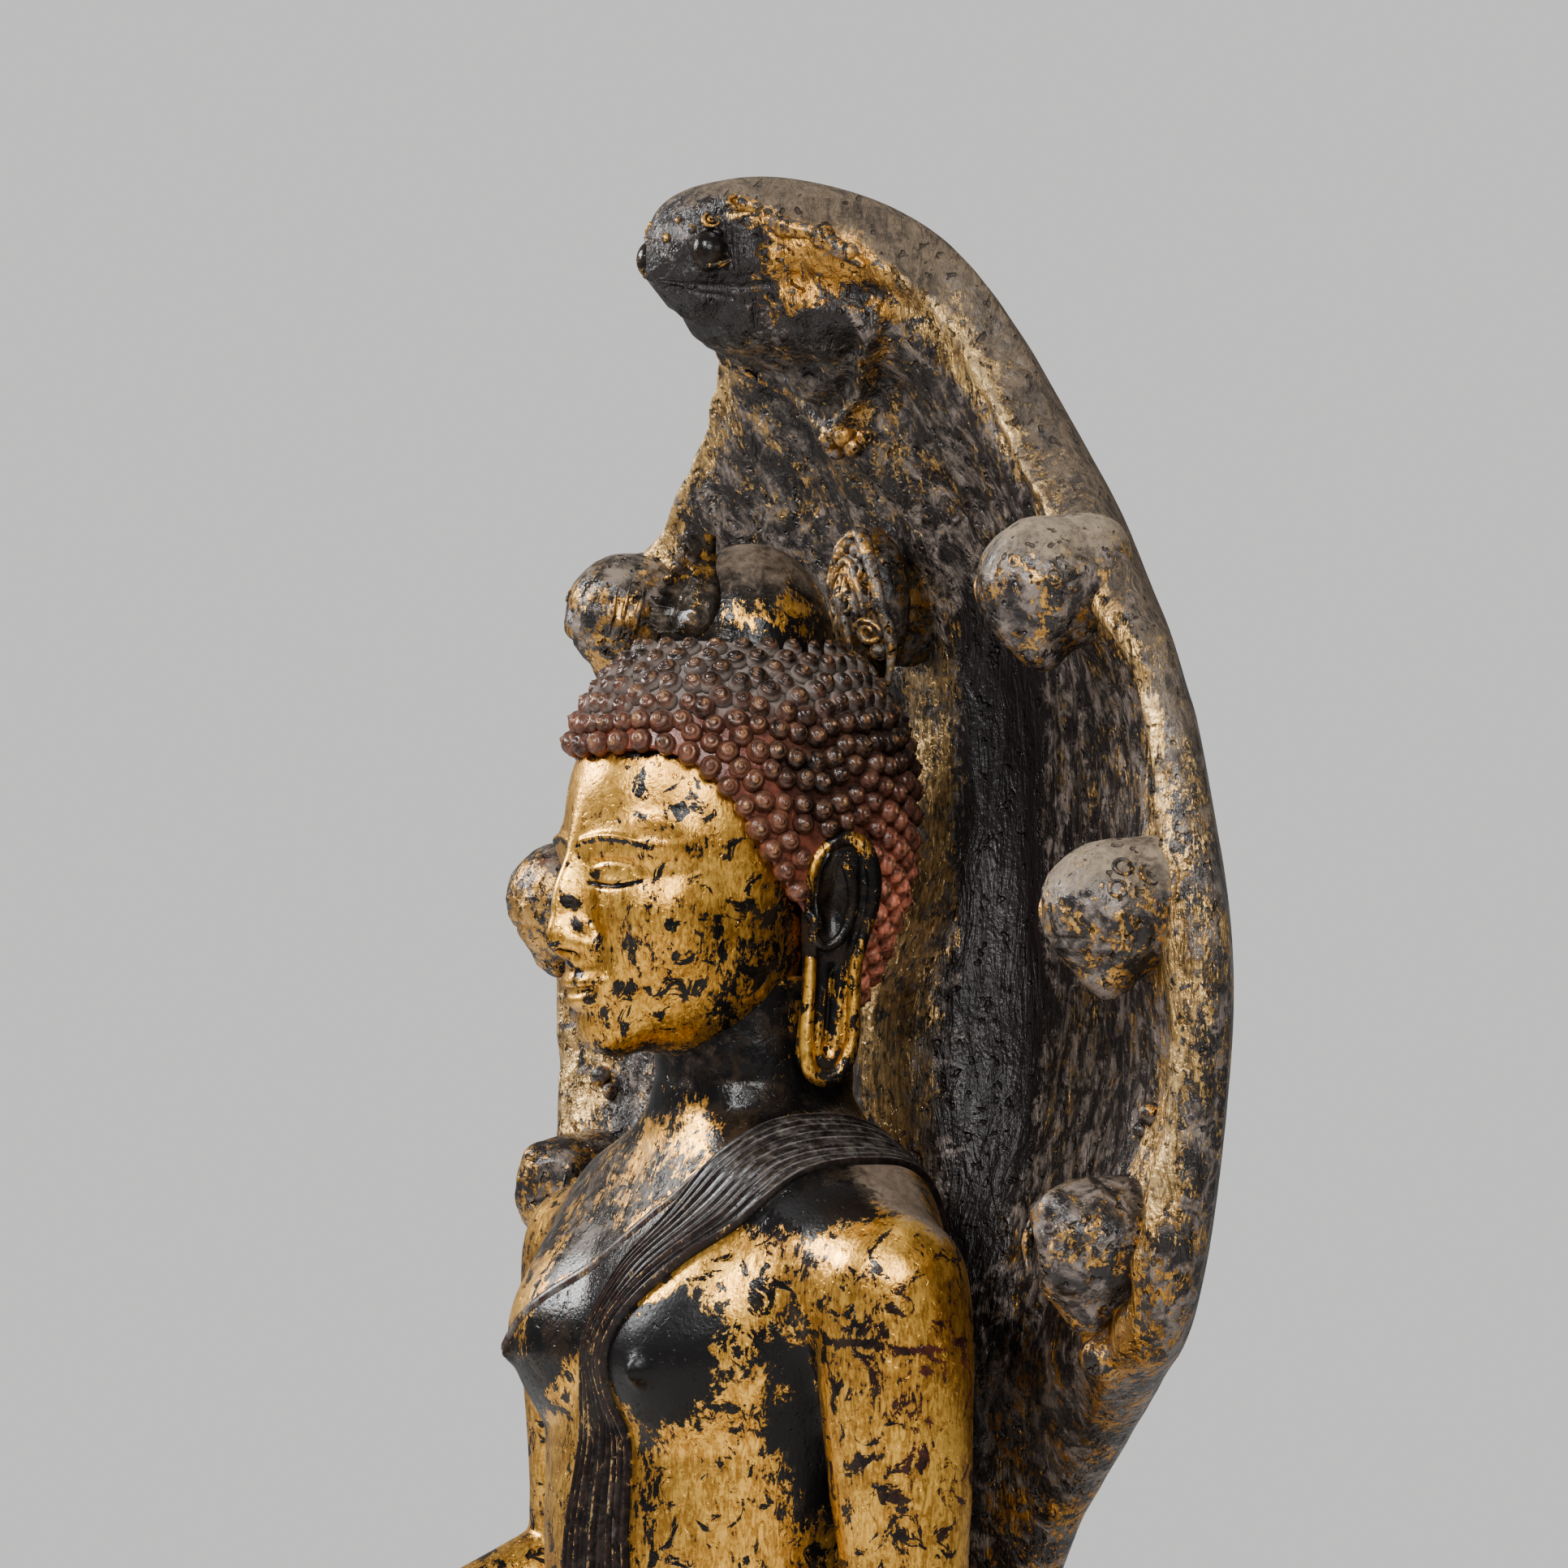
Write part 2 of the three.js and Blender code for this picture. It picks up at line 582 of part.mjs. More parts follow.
const lacquerAndGold = new THREE.MeshStandardMaterial({ color: 0x8d6a35, roughness: 0.42, metalness: 0.6 });
const darkBronze = new THREE.MeshStandardMaterial({ color: 0x4a4138, roughness: 0.6, metalness: 0.5 });
const coilBronze = new THREE.MeshStandardMaterial({ color: 0x40382f, roughness: 0.62, metalness: 0.5 });

const statue = new THREE.Group();
const onThrone = new THREE.Group();
onThrone.position.set(0, axisSetback, throneHeight + seatGap);
onThrone.add(meshOf(figure(), "seated_figure", lacquerAndGold), meshOf(hood(), "snake_hood", darkBronze));
statue.add(onThrone, meshOf(throne(), "coiled_throne", coilBronze));

export default statue;
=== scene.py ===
import math

import bpy
import numpy as np
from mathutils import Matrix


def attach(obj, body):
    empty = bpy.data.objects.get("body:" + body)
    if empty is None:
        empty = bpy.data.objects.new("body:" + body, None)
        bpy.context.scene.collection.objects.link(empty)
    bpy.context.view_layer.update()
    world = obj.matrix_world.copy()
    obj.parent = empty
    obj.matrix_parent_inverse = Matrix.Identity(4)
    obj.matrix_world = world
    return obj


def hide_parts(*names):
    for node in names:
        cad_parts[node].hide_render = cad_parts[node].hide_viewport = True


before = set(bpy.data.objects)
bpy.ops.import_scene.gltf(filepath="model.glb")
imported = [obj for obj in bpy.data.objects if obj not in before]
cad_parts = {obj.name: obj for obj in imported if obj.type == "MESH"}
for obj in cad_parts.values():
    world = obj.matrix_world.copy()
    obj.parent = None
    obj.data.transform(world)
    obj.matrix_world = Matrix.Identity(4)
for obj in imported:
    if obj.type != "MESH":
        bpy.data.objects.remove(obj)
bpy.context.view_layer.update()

# The figure is laid out in faces, the length from hairline to chin, up from its seat.
layout = {"face": 0.2, "axisY": 0.05405, "seat": 0.3453}  # metres
axis = np.array([0, layout["axisY"], 0])  # from the middle of the floor to the figure's upright axis
seatPlace = axis + (0, 0, layout["seat"])


def placed(points):
    # faces to metres, in the object's own place
    return np.asarray(points, float) * layout["face"] + seatPlace


def inFaces(points):
    return (points - seatPlace) / layout["face"]


# Curves and surfaces.


def curveThrough(values, at):
    # a smooth curve through all rows of values, read at row numbers that need not be whole
    values = np.asarray(values, float)
    last = len(values) - 1
    i = np.clip(np.floor(at).astype(int), 0, last - 1)
    f = (np.asarray(at) - i)[..., None]
    a, b, c, d = (values[np.clip(i + k, 0, last)] for k in (-1, 0, 1, 2))
    return b + 0.5 * f * (c - a + f * (2 * a - 5 * b + 4 * c - d + f * (3 * (b - c) + d - a)))


def curveOf(points, count):
    # the whole of such a curve, at evenly numbered places
    return curveThrough(points, np.linspace(0, len(points) - 1, count))


def columnsAt(rows, key):
    # reads a table whose first column is the key; the other columns come back one by one
    rows = np.asarray(rows, float)
    return np.moveaxis(curveThrough(rows[:, 1:], np.interp(key, rows[:, 0], np.arange(len(rows)))), -1, 0)


def power(value, exponent):
    return np.sign(value) * np.abs(value) ** exponent


def step(low, high, value):
    # 0 below low, 1 above high, smooth between
    t = np.clip((value - low) / (high - low), 0, 1)
    return t * t * (3 - 2 * t)


def bell(value, width):
    # 1 at nought, falling off smoothly to both sides
    return np.exp(-((value / width) ** 2))


def turns(count):
    # angles once round, the first not repeated
    return 2 * np.pi * np.arange(count) / count


def together(*values):
    return np.stack(np.broadcast_arrays(*values), -1)


def unit(vectors):
    vectors = np.asarray(vectors, float)
    return vectors / np.maximum(np.linalg.norm(vectors, axis=-1, keepdims=True), 1e-12)


def oneSided(points):
    # the right side's points brought over to the left side
    return together(np.abs(points[..., 0]), points[..., 1], points[..., 2])


def lumps(points, size, seed=0):
    # smooth noise from -1 to 1: random numbers at the corners of a lattice, blended inside each cell
    p = np.asarray(points, float) / size + 31.7 * (seed + 1)
    cell = np.floor(p).astype(np.int64)
    f = p - cell
    f = f * f * (3 - 2 * f)
    total = np.zeros(p.shape[:-1])
    for corner in np.ndindex(2, 2, 2):
        key = (cell + corner) @ np.array([73856093, 19349663, 83492791]) + seed * 7919
        key = (key ^ (key >> 13)) * 1274126177 & 0xFFFFFFFF
        key = (key ^ (key >> 16)) & 0xFFFF
        total += np.prod(np.where(corner, f, 1 - f), axis=-1) * (key / 32767.5 - 1)
    return total


def patches(points, spots):
    # the sum of soft patches [x, y, z, reach x, reach y, reach z, amount]
    total = np.zeros(points.shape[:-1])
    for x, y, z, rx, ry, rz, amount in spots:
        total += amount * np.exp(-(((points - (x, y, z)) / (rx, ry, rz)) ** 2).sum(-1))
    return total


def skinOf(rings, firstTip=None, lastTip=None):
    # a closed skin: a grid whose columns go round, drawn together in one point at both ends
    rows, columns = rings.shape[:2]
    ends = ((firstTip, rings[0]), (lastTip, rings[-1]))
    tips = [ring.mean(0) if tip is None else tip for tip, ring in ends]
    points = np.concatenate([rings.reshape(-1, 3), tips])
    k = np.arange(columns)
    n = (k + 1) % columns
    base = np.arange(rows - 1)[:, None] * columns
    quads = np.stack([base + k, base + n, base + n + columns, base + k + columns], -1).reshape(-1, 4)
    top, hub = (rows - 1) * columns, rows * columns
    fans = np.concatenate([together(n, k, hub), together(top + k, top + n, hub + 1)])
    corners = np.concatenate([quads[:, :3], quads[:, [0, 2, 3]], fans])
    p = points - points.mean(0)
    volume = np.einsum("ij,ij->", p[corners[:, 0]], np.cross(p[corners[:, 1]], p[corners[:, 2]]))
    if volume < 0:  # faces point outwards
        quads, fans = quads[:, ::-1], fans[:, ::-1]
    return points, quads, fans


def mirroredSkin(skin):
    points, quads, fans = skin
    return points * (-1, 1, 1), quads[:, ::-1], fans[:, ::-1]


def onBothSides(skins):
    return skins + [mirroredSkin(skin) for skin in skins]


def addObject(name, data):
    made = bpy.data.objects.new(name, data)
    bpy.context.scene.collection.objects.link(made)
    return made


def pieceFrom(name, *skins):
    # one object from several closed skins
    starts = np.cumsum([0] + [len(points) for points, _, _ in skins])
    points = np.concatenate([skin[0] for skin in skins])
    quads, fans = (np.concatenate([skin[k] + start for skin, start in zip(skins, starts)]) for k in (1, 2))
    mesh = bpy.data.meshes.new(name)
    mesh.vertices.add(len(points))
    mesh.vertices.foreach_set("co", points.astype(np.float32).ravel())
    mesh.loops.add(quads.size + fans.size)
    mesh.loops.foreach_set("vertex_index", np.concatenate([quads.ravel(), fans.ravel()]).astype(np.int32))
    starts = np.concatenate([np.arange(len(quads)) * 4, quads.size + np.arange(len(fans)) * 3])
    mesh.polygons.add(len(starts))
    mesh.polygons.foreach_set("loop_start", starts.astype(np.int32))
    mesh.update(calc_edges=True)
    mesh.shade_smooth()
    return addObject(name, mesh)


def vectorsFrom(values, label):
    vectors = np.empty(len(values) * 3, np.float32)
    values.foreach_get(label, vectors)
    return vectors.reshape(-1, 3).astype(float)


def pointsOf(piece):
    return vectorsFrom(piece.data.vertices, "co")


def normalsOf(piece):
    return vectorsFrom(piece.data.vertex_normals, "vector")


def movePoints(piece, points):
    piece.data.vertices.foreach_set("co", points.astype(np.float32).ravel())
    piece.data.update()


def swell(piece, amounts):
    # each point moves out along its normal
    movePoints(piece, pointsOf(piece) + normalsOf(piece) * amounts[:, None])


def withMasks(piece, **masks):
    # values for each point of the mesh, read by the materials; a mask that isn't given reads as nought
    for name, values in masks.items():
        layer = piece.data.attributes.new(name, "FLOAT", "POINT")
        layer.data.foreach_set("value", np.broadcast_to(values, len(piece.data.vertices)).astype(np.float32))


def worked(piece):
    # runs the piece's modifiers and keeps the result as its mesh
    made = bpy.data.meshes.new_from_object(piece.evaluated_get(bpy.context.evaluated_depsgraph_get()))
    old = piece.data
    piece.modifiers.clear()
    piece.data = made
    bpy.data.meshes.remove(old)
    made.shade_smooth()


def fused(piece, cell):
    # melts overlapping skins into one
    remesh = piece.modifiers.new("fuse", "REMESH")
    remesh.mode, remesh.voxel_size, remesh.use_smooth_shade = "VOXEL", cell, True
    worked(piece)


def relaxed(piece, weights, rounds, keep=True):
    # each point moves towards the middle of its neighbours; every other round moves it back to keep volume
    points = pointsOf(piece)
    ends = np.empty(len(piece.data.edges) * 2, np.int32)
    piece.data.edges.foreach_get("vertices", ends)
    a, b = ends.reshape(-1, 2).T
    count = np.bincount(ends, minlength=len(points))[:, None]
    weights = np.broadcast_to(weights, len(points))[:, None]
    inwards, outwards = 0.6, -0.52
    for k in range(rounds):
        total = np.stack([
            sum(np.bincount(near, points[far, i], len(points)) for near, far in ((a, b), (b, a)))
            for i in range(3)], -1)
        share = outwards if keep and k % 2 else inwards
        points = points + share * weights * (total / count - points)
    movePoints(piece, points)


def laidOn(grid, target):
    # moves a grid of points to the nearest places on another piece
    mesh = bpy.data.meshes.new("laid")
    mesh.from_pydata(grid.reshape(-1, 3).tolist(), [], [])
    probe = addObject("laid", mesh)
    wrap = probe.modifiers.new("wrap", "SHRINKWRAP")
    wrap.target, wrap.wrap_method, wrap.wrap_mode = target, "NEAREST_SURFACEPOINT", "ON_SURFACE"
    worked(probe)
    points = pointsOf(probe).reshape(grid.shape)
    made = probe.data
    bpy.data.objects.remove(probe)
    bpy.data.meshes.remove(made)
    return points


def smoothedAlong(grid):
    # each row but the first and last moves towards its neighbours
    grid[1:-1] = (grid[:-2] + 2 * grid[1:-1] + grid[2:]) / 4


def gridNormals(grid, outward):
    # normals of an open grid, turned to the side of the outward direction
    normals = unit(np.cross(np.gradient(grid, axis=0), np.gradient(grid, axis=1)))
    return normals * np.sign((normals * outward).sum(-1, keepdims=True) + 1e-9)


def limbSkin(points, radii, sides, steps, flat=1.0, normal=(0, 0, 1)):
    # a circle of changing radius carried along a curve through the points, with round ends
    centres = curveOf(points, steps)
    radius = curveOf(np.asarray(radii, float)[:, None], steps)
    tangents = unit(np.gradient(centres, axis=0))
    turn = np.linspace(0, np.pi / 2, 7)[1:-1, None]
    ends = [centres[0] - tangents[0] * radius[0] * flat * np.sin(turn)[::-1],
            centres[-1] + tangents[-1] * radius[-1] * flat * np.sin(turn)]
    tips = [centres[0] - tangents[0] * radius[0] * flat, centres[-1] + tangents[-1] * radius[-1] * flat]
    centres = np.concatenate([ends[0], centres, ends[1]])
    radius = np.concatenate([radius[0] * np.cos(turn)[::-1], radius, radius[-1] * np.cos(turn)])
    tangents = np.concatenate([np.repeat(tangents[:1], 5, 0), tangents, np.repeat(tangents[-1:], 5, 0)])
    across = np.broadcast_to(np.asarray(normal, float), tangents.shape)
    across = unit(across - tangents * (across * tangents).sum(-1, keepdims=True))
    side = np.cross(across, tangents)
    angle = turns(sides)[:, None]
    rings = centres[:, None] + radius[:, None] * (
        side[:, None] * np.cos(angle) + flat * across[:, None] * np.sin(angle))
    return skinOf(rings, *tips)


def limbInFaces(points, radii, *shape):
    return limbSkin(placed(points), np.array(radii) * layout["face"], *shape)


def sphereRays(rows, columns):
    # directions from the middle of a ball, from pole to pole: two across, and the one along its poles
    polar = np.linspace(0, np.pi, rows)[1:-1, None]
    turn = turns(columns)
    return np.sin(polar) * np.cos(turn), np.sin(polar) * np.sin(turn), -np.cos(polar)


def beadSkin(place, radius, squash=(1, 1, 1)):
    place, squash = np.asarray(place), np.asarray(squash, float)
    ends = [place + np.array([0, 0, end]) * radius * squash[2] for end in (-1, 1)]
    return skinOf(place + together(*sphereRays(13, 18)) * radius * squash, *ends)


# Finishes.


def feed(tree, socket, value):
    # a number or a colour is set on the socket itself; anything else is linked to it
    if isinstance(value, tuple):
        socket.default_value = (*value, 1)
    elif isinstance(value, (int, float)):
        socket.default_value = value
    else:
        tree.links.new(value, socket)


def addNode(tree, kind, inputs=None, **settings):
    node = tree.nodes.new("ShaderNode" + kind)
    for name, value in settings.items():
        setattr(node, name, value)
    for key, value in (inputs or {}).items():
        feed(tree, node.inputs[key], value)
    return node


def mathOf(operation, *values, clamp=False):
    # arithmetic on numbers and sockets, in the tree that the sockets belong to
    tree = next(value.id_data for value in values if not isinstance(value, (int, float)))
    return addNode(tree, "Math", dict(enumerate(values)), operation=operation, use_clamp=clamp).outputs[0]


def times(first, second):
    return mathOf("MULTIPLY", first, second)


def less(first, second):
    return mathOf("SUBTRACT", first, second)


def plus(total, *values):
    for value in values:
        total = mathOf("ADD", total, value)
    return total


def swing(noise, amount):
    # noise brought round nought and made this strong
    return times(less(noise, 0.5), amount)


def noiseOf(where, scale, detail=4.0, roughness=0.6, distortion=0.0):
    noise = addNode(where.id_data, "TexNoise", {
        "Vector": where, "Scale": scale, "Detail": detail, "Roughness": roughness, "Distortion": distortion})
    return noise.outputs["Fac"]


def rangeOf(value, low, high, toLow=0.0, toHigh=1.0):
    inputs = dict(enumerate((value, low, high, toLow, toHigh)))
    return addNode(value.id_data, "MapRange", inputs, interpolation_type="SMOOTHSTEP").outputs[0]


def mixOf(mask, first, second):
    return addNode(mask.id_data, "Mix", data_type="RGBA", inputs={0: mask, 6: first, 7: second}).outputs[2]


def maskNamed(tree, name):
    return addNode(tree, "Attribute", attribute_name=name).outputs["Fac"]


def objectPlace(tree):
    return addNode(tree, "TexCoord").outputs["Object"]


def stretched(where, along, turn=(0, 0, 0)):
    # the same places drawn together along z, so that a pattern on them runs up and down
    mapping = addNode(where.id_data, "Mapping", {"Vector": where})
    mapping.inputs["Scale"].default_value = (1, 1, along)
    mapping.inputs["Rotation"].default_value = turn
    return mapping.outputs[0]


def newGroup(name, given, outputs):
    # a group whose sockets carry numbers; each input has a value to start from
    group = bpy.data.node_groups.new(name, "ShaderNodeTree")
    for label, value in given.items():
        socket = group.interface.new_socket(label, in_out="INPUT", socket_type="NodeSocketFloat")
        socket.default_value = value
    for label in outputs:
        group.interface.new_socket(label, in_out="OUTPUT", socket_type="NodeSocketFloat")
    return group, group.nodes.new("NodeGroupInput").outputs, group.nodes.new("NodeGroupOutput").inputs


def placedGroup(tree, group, look, **given):
    # a shared effect, its inputs taken from what is given or else from the look's values of the same names
    node = addNode(tree, "Group", node_tree=group)
    for socket in node.inputs:
        feed(tree, socket, given[socket.name] if socket.name in given else look[socket.name.lower()])
    return node.outputs


def buildLeafWear():
    # where leaf gold survives: a coverage worn away by large patches, small flecks and fine scratches
    inputs = {"Coverage": 0.6, "Patch": 30.0, "Fleck": 170.0, "Speckle": 1.4, "Scratch": 0.25, "Edge": 0.035}
    group, given, out = newGroup("leafWear", inputs, ("Mask", "Tone"))
    where = objectPlace(group)
    drawnOut = stretched(where, 0.28, (0.3, 0.2, 0.4))
    patch = noiseOf(where, given["Patch"], 5, 0.62, 0.6)
    fleck = noiseOf(where, given["Fleck"], 4, 0.7, 0.3)
    scratch = noiseOf(drawnOut, times(given["Fleck"], 1.6), 3, 0.7, 1.2)
    drip = noiseOf(drawnOut, times(given["Patch"], 1.7), 4, 0.6, 0.5)
    bitten = noiseOf(where, times(given["Patch"], 2.7), 6, 0.68, 0.8)
    level = plus(
        given["Coverage"], swing(patch, 1.9), swing(drip, 1.0), swing(fleck, given["Speckle"]),
        rangeOf(bitten, 0.54, 0.6, 0.0, -0.7), times(swing(scratch, given["Scratch"]), 3.0))
    feed(group, out["Mask"], rangeOf(level, less(0.5, given["Edge"]), plus(0.5, given["Edge"])))
    feed(group, out["Tone"], rangeOf(plus(level, swing(scratch, 1.6)), 0.45, 1.25))
    return group


def buildPitting():
    # small pits, casting grain and soft unevenness, as a height
    group, given, out = newGroup("pitting", {"Grain": 420.0, "Pits": 0.5, "Streaks": 0.3}, ("Height",))
    where, grain = objectPlace(group), given["Grain"]
    fine = noiseOf(where, grain, 3, 0.65)
    broad = noiseOf(where, times(grain, 0.12), 3, 0.55, 0.4)
    streak = noiseOf(stretched(where, 0.22), times(grain, 0.35), 4, 0.65, 0.8)
    pits = rangeOf(noiseOf(where, times(grain, 0.45), 2, 0.5), 0.62, 0.72)
    height = plus(times(fine, 0.3), times(broad, 0.9), times(streak, given["Streaks"]))
    feed(group, out["Height"], less(height, times(pits, given["Pits"])))
    return group


def buildDustFall():
    # dust lies where its mask says, thinner and thicker in clouds
    group, given, out = newGroup("dustFall", {"Amount": 0.5, "Cloud": 60.0}, ("Mask",))
    cloud = noiseOf(objectPlace(group), given["Cloud"], 6, 0.68, 0.4)
    feed(group, out["Mask"], rangeOf(plus(given["Amount"], swing(cloud, 1.3)), 0.3, 0.95))
    return group


leafWear, pitting, dustFall = buildLeafWear(), buildPitting(), buildDustFall()

bole, wornLeafAndShade = (0.3, 0.075, 0.042), (0.5, 0.265, 0.075)
finishes = {
    "gilded": {
        "ground": (0.0085, 0.0075, 0.0075), "groundTwo": (0.03, 0.021, 0.015), "leaf": (0.87, 0.525, 0.145),
        "deepLeaf": (0.43, 0.22, 0.055), "dust": (0.2, 0.155, 0.115), "patch": 19.0, "fleck": 165.0,
        "speckle": 1.1, "scratch": 0.42, "edge": 0.022, "groundRough": 0.22, "leafRough": 0.33, "shine": 0.3,
        "grain": 420.0, "pits": 0.3, "streaks": 0.25, "relief": 0.001, "dark": (0.4, 0.6, 0.12)},
    "pleats": {
        "ground": (0.0085, 0.0075, 0.0075), "groundTwo": (0.03, 0.024, 0.02), "leaf": (0.62, 0.42, 0.19),
        "deepLeaf": (0.3, 0.2, 0.1), "dust": (0.2, 0.185, 0.17), "patch": 40.0, "fleck": 260.0,
        "speckle": 1.2, "scratch": 0.5, "edge": 0.05, "groundRough": 0.3, "leafRough": 0.42, "shine": 0.35,
        "grain": 380.0, "pits": 0.15, "streaks": 0.3, "relief": 0.0006, "dark": (0.4, 0.6, 0.1)},
    "hood": {
        "ground": (0.022, 0.018, 0.0175), "groundTwo": (0.205, 0.168, 0.145), "leaf": (0.84, 0.59, 0.29),
        "deepLeaf": (0.4, 0.25, 0.1), "dust": (0.155, 0.116, 0.078), "patch": 30.0, "fleck": 190.0,
        "speckle": 1.5, "scratch": 0.6, "edge": 0.04, "groundRough": 0.29, "leafRough": 0.36, "shine": 0.5,
        "grain": 260.0, "pits": 0.8, "streaks": 1.5, "relief": 0.0042,
        # height of the relief below which it is dark, above which it is not, and how dark
        "dark": (1.12, 1.36, 0.55)},
}
finishes["heads"] = dict(
    finishes["hood"], dust=(0.27, 0.212, 0.15), patch=46.0, speckle=1.8, streaks=0.25, pits=1.1, scratch=0.2,
    relief=0.0034, dark=(0.52, 0.68, 0.6))
finishes["coils"] = dict(finishes["hood"], streaks=0.9, relief=0.003, dark=(0.86, 1.06, 0.4))


def newMaterial(name):
    material = bpy.data.materials.new(name)
    material.use_nodes = True
    return material, material.node_tree, material.node_tree.nodes["Principled BSDF"]


def feedShader(shader, height, relief, strength, **values):
    # the shader's own inputs, and the finest relief as bump
    tree = shader.id_data
    bump = addNode(tree, "Bump", {"Distance": relief, "Strength": strength, "Height": height})
    feed(tree, shader.inputs["Normal"], bump.outputs["Normal"])
    for label, value in values.items():
        feed(tree, shader.inputs[label], value)


def layeredFinish(name, look):
    # a dark ground, red bole under broken leaf gold, and dust, each from its own mask on the mesh
    material, tree, shader = newMaterial(name)
    fleck, ground, where = look["fleck"], look["ground"], objectPlace(tree)
    wear = placedGroup(tree, leafWear, look, Coverage=maskNamed(tree, "gilding"))
    dust = placedGroup(tree, dustFall, look, Amount=maskNamed(tree, "dust"), Cloud=fleck * 0.45)["Mask"]
    pit = placedGroup(tree, pitting, look)["Height"]
    base = mixOf(rangeOf(noiseOf(where, fleck * 0.3, 6, 0.7, 0.5), 0.45, 0.63), ground, look["groundTwo"])
    red = times(maskNamed(tree, "bole"), rangeOf(noiseOf(where, fleck * 0.5, 4, 0.65), 0.3, 0.6))
    base = mixOf(red, base, bole)
    leaf = mixOf(wear["Tone"], look["deepLeaf"], look["leaf"])
    leaf = mixOf(rangeOf(noiseOf(where, fleck * 0.2, 3, 0.6), 0.42, 0.78, 0.0, 0.45), leaf, look["deepLeaf"])
    # this mask turns the leaf a deeper worn gold; on the forehead it is painted shade that dims the highlight
    leaf = mixOf(maskNamed(tree, "warm"), leaf, wornLeafAndShade)
    # black soot patches, and painted shade where the mask puts it, cover gold and dust in large broken
    # patches
    broad, fine = noiseOf(where, look["patch"] * 2.2, 6, 0.66, 0.7), noiseOf(where, fleck, 4, 0.7)
    soot = rangeOf(plus(maskNamed(tree, "soot"), swing(broad, 1.8), swing(fine, 0.9)), 0.43, 0.55)
    gold = times(wear["Mask"], less(1.0, soot))
    dusty = times(dust, less(1.0, times(soot, 0.65)))
    colour = mixOf(gold, mixOf(soot, base, ground), leaf)
    shade = rangeOf(noiseOf(where, fleck * 0.6, 6, 0.7, 0.8), 0.36, 0.62, 0.35, 0.0)
    colour = mixOf(dusty, colour, mixOf(shade, look["dust"], ground))
    low, high, howDark = look["dark"]
    colour = mixOf(rangeOf(pit, low, high, howDark, 0.0), colour, ground)
    rough = rangeOf(gold, 0.0, 1.0, look["groundRough"], look["leafRough"])
    rough = plus(rough, swing(noiseOf(where, fleck, 3), 0.3))
    rough = mathOf("MAXIMUM", rough, times(dusty, 0.85), clamp=True)
    feedShader(shader, plus(pit, times(gold, 0.24)), look["relief"], 0.9, **{
        "Base Color": colour, "Metallic": times(times(gold, 0.88), less(1.0, dusty)),
        "Roughness": mathOf("MAXIMUM", rough, times(soot, 0.36)), "Specular IOR Level": look["shine"]})
    return material


gildedLacquer = layeredFinish("gilded lacquer", finishes["gilded"])
blackPleats = layeredFinish("black pleats", finishes["pleats"])
hoodBronze = layeredFinish("hood bronze", finishes["hood"])
headBronze = layeredFinish("small heads bronze", finishes["heads"])
coilBronze = layeredFinish("coil bronze", finishes["coils"])
print("finishes made")

# Body.

body = {
    "torso": [  # height, half width, depth before the axis, depth behind it, in faces
        [-0.05, 0.9, 0.74, 0.5], [0.65, 0.85, 0.71, 0.475], [1.0, 0.745, 0.68, 0.41],
        [1.4, 0.665, 0.655, 0.36], [1.75, 0.7, 0.65, 0.37], [2.08, 0.79, 0.61, 0.425],
        [2.25, 0.84, 0.62, 0.44], [2.42, 0.89, 0.63, 0.46], [2.65, 0.95, 0.55, 0.46],
        [2.85, 0.93, 0.44, 0.42], [2.97, 0.8, 0.38, 0.39], [3.07, 0.55, 0.33, 0.36],
        [3.17, 0.375, 0.31, 0.33], [3.28, 0.335, 0.3, 0.325], [3.6, 0.32, 0.31, 0.33]],
    "squareness": 0.86, "rings": 150,
    "breast": [0.45, 2.37, 0.1],  # from the middle line, height, rise
    "neckCreases": [[3.24, 0.012], [3.13, 0.01]],  # height, depth
    "shoulder": (1.0, -0.055, 2.62), "leftElbow": (1.06, -0.02, 1.32), "rightElbow": (-1.12, -0.03, 1.53),
    "leftWrist": (0.42, -0.93, 0.9), "rightWrist": (-1.32, -1.1, 0.98),
    "collarRadii": [0.36, 0.26], "upperArm": [0.26, 0.245, 0.205, 0.185], "forearm": [0.19, 0.195, 0.115],
    # from the middle, height, radius, metres it stands out on the left and on the right
    "nipple": [0.44, 2.35, 0.034, 0.0052, 0.0025],
    "cell": 0.004,
}
hands = {
    "left": {"wrist": body["leftWrist"], "forward": (-1, -0.12, -0.02), "spread": (-0.12, -0.98, 0.1),
             "normal": (0, 0.1, 1), "curl": -0.12},
    "right": {"wrist": body["rightWrist"], "forward": (-0.04, -0.62, -0.78), "spread": (1, -0.03, -0.03),
              "normal": (-0.03, -0.78, 0.62), "curl": 0.4},
    "palm": 0.42, "palmRadii": [0.12, 0.185, 0.19], "fingers": [0.36, 0.42, 0.4, 0.33], "spacing": 0.098,
    "fingerRadii": [0.052, 0.05, 0.047, 0.04], "thumbRadii": [0.07, 0.06, 0.045],
}


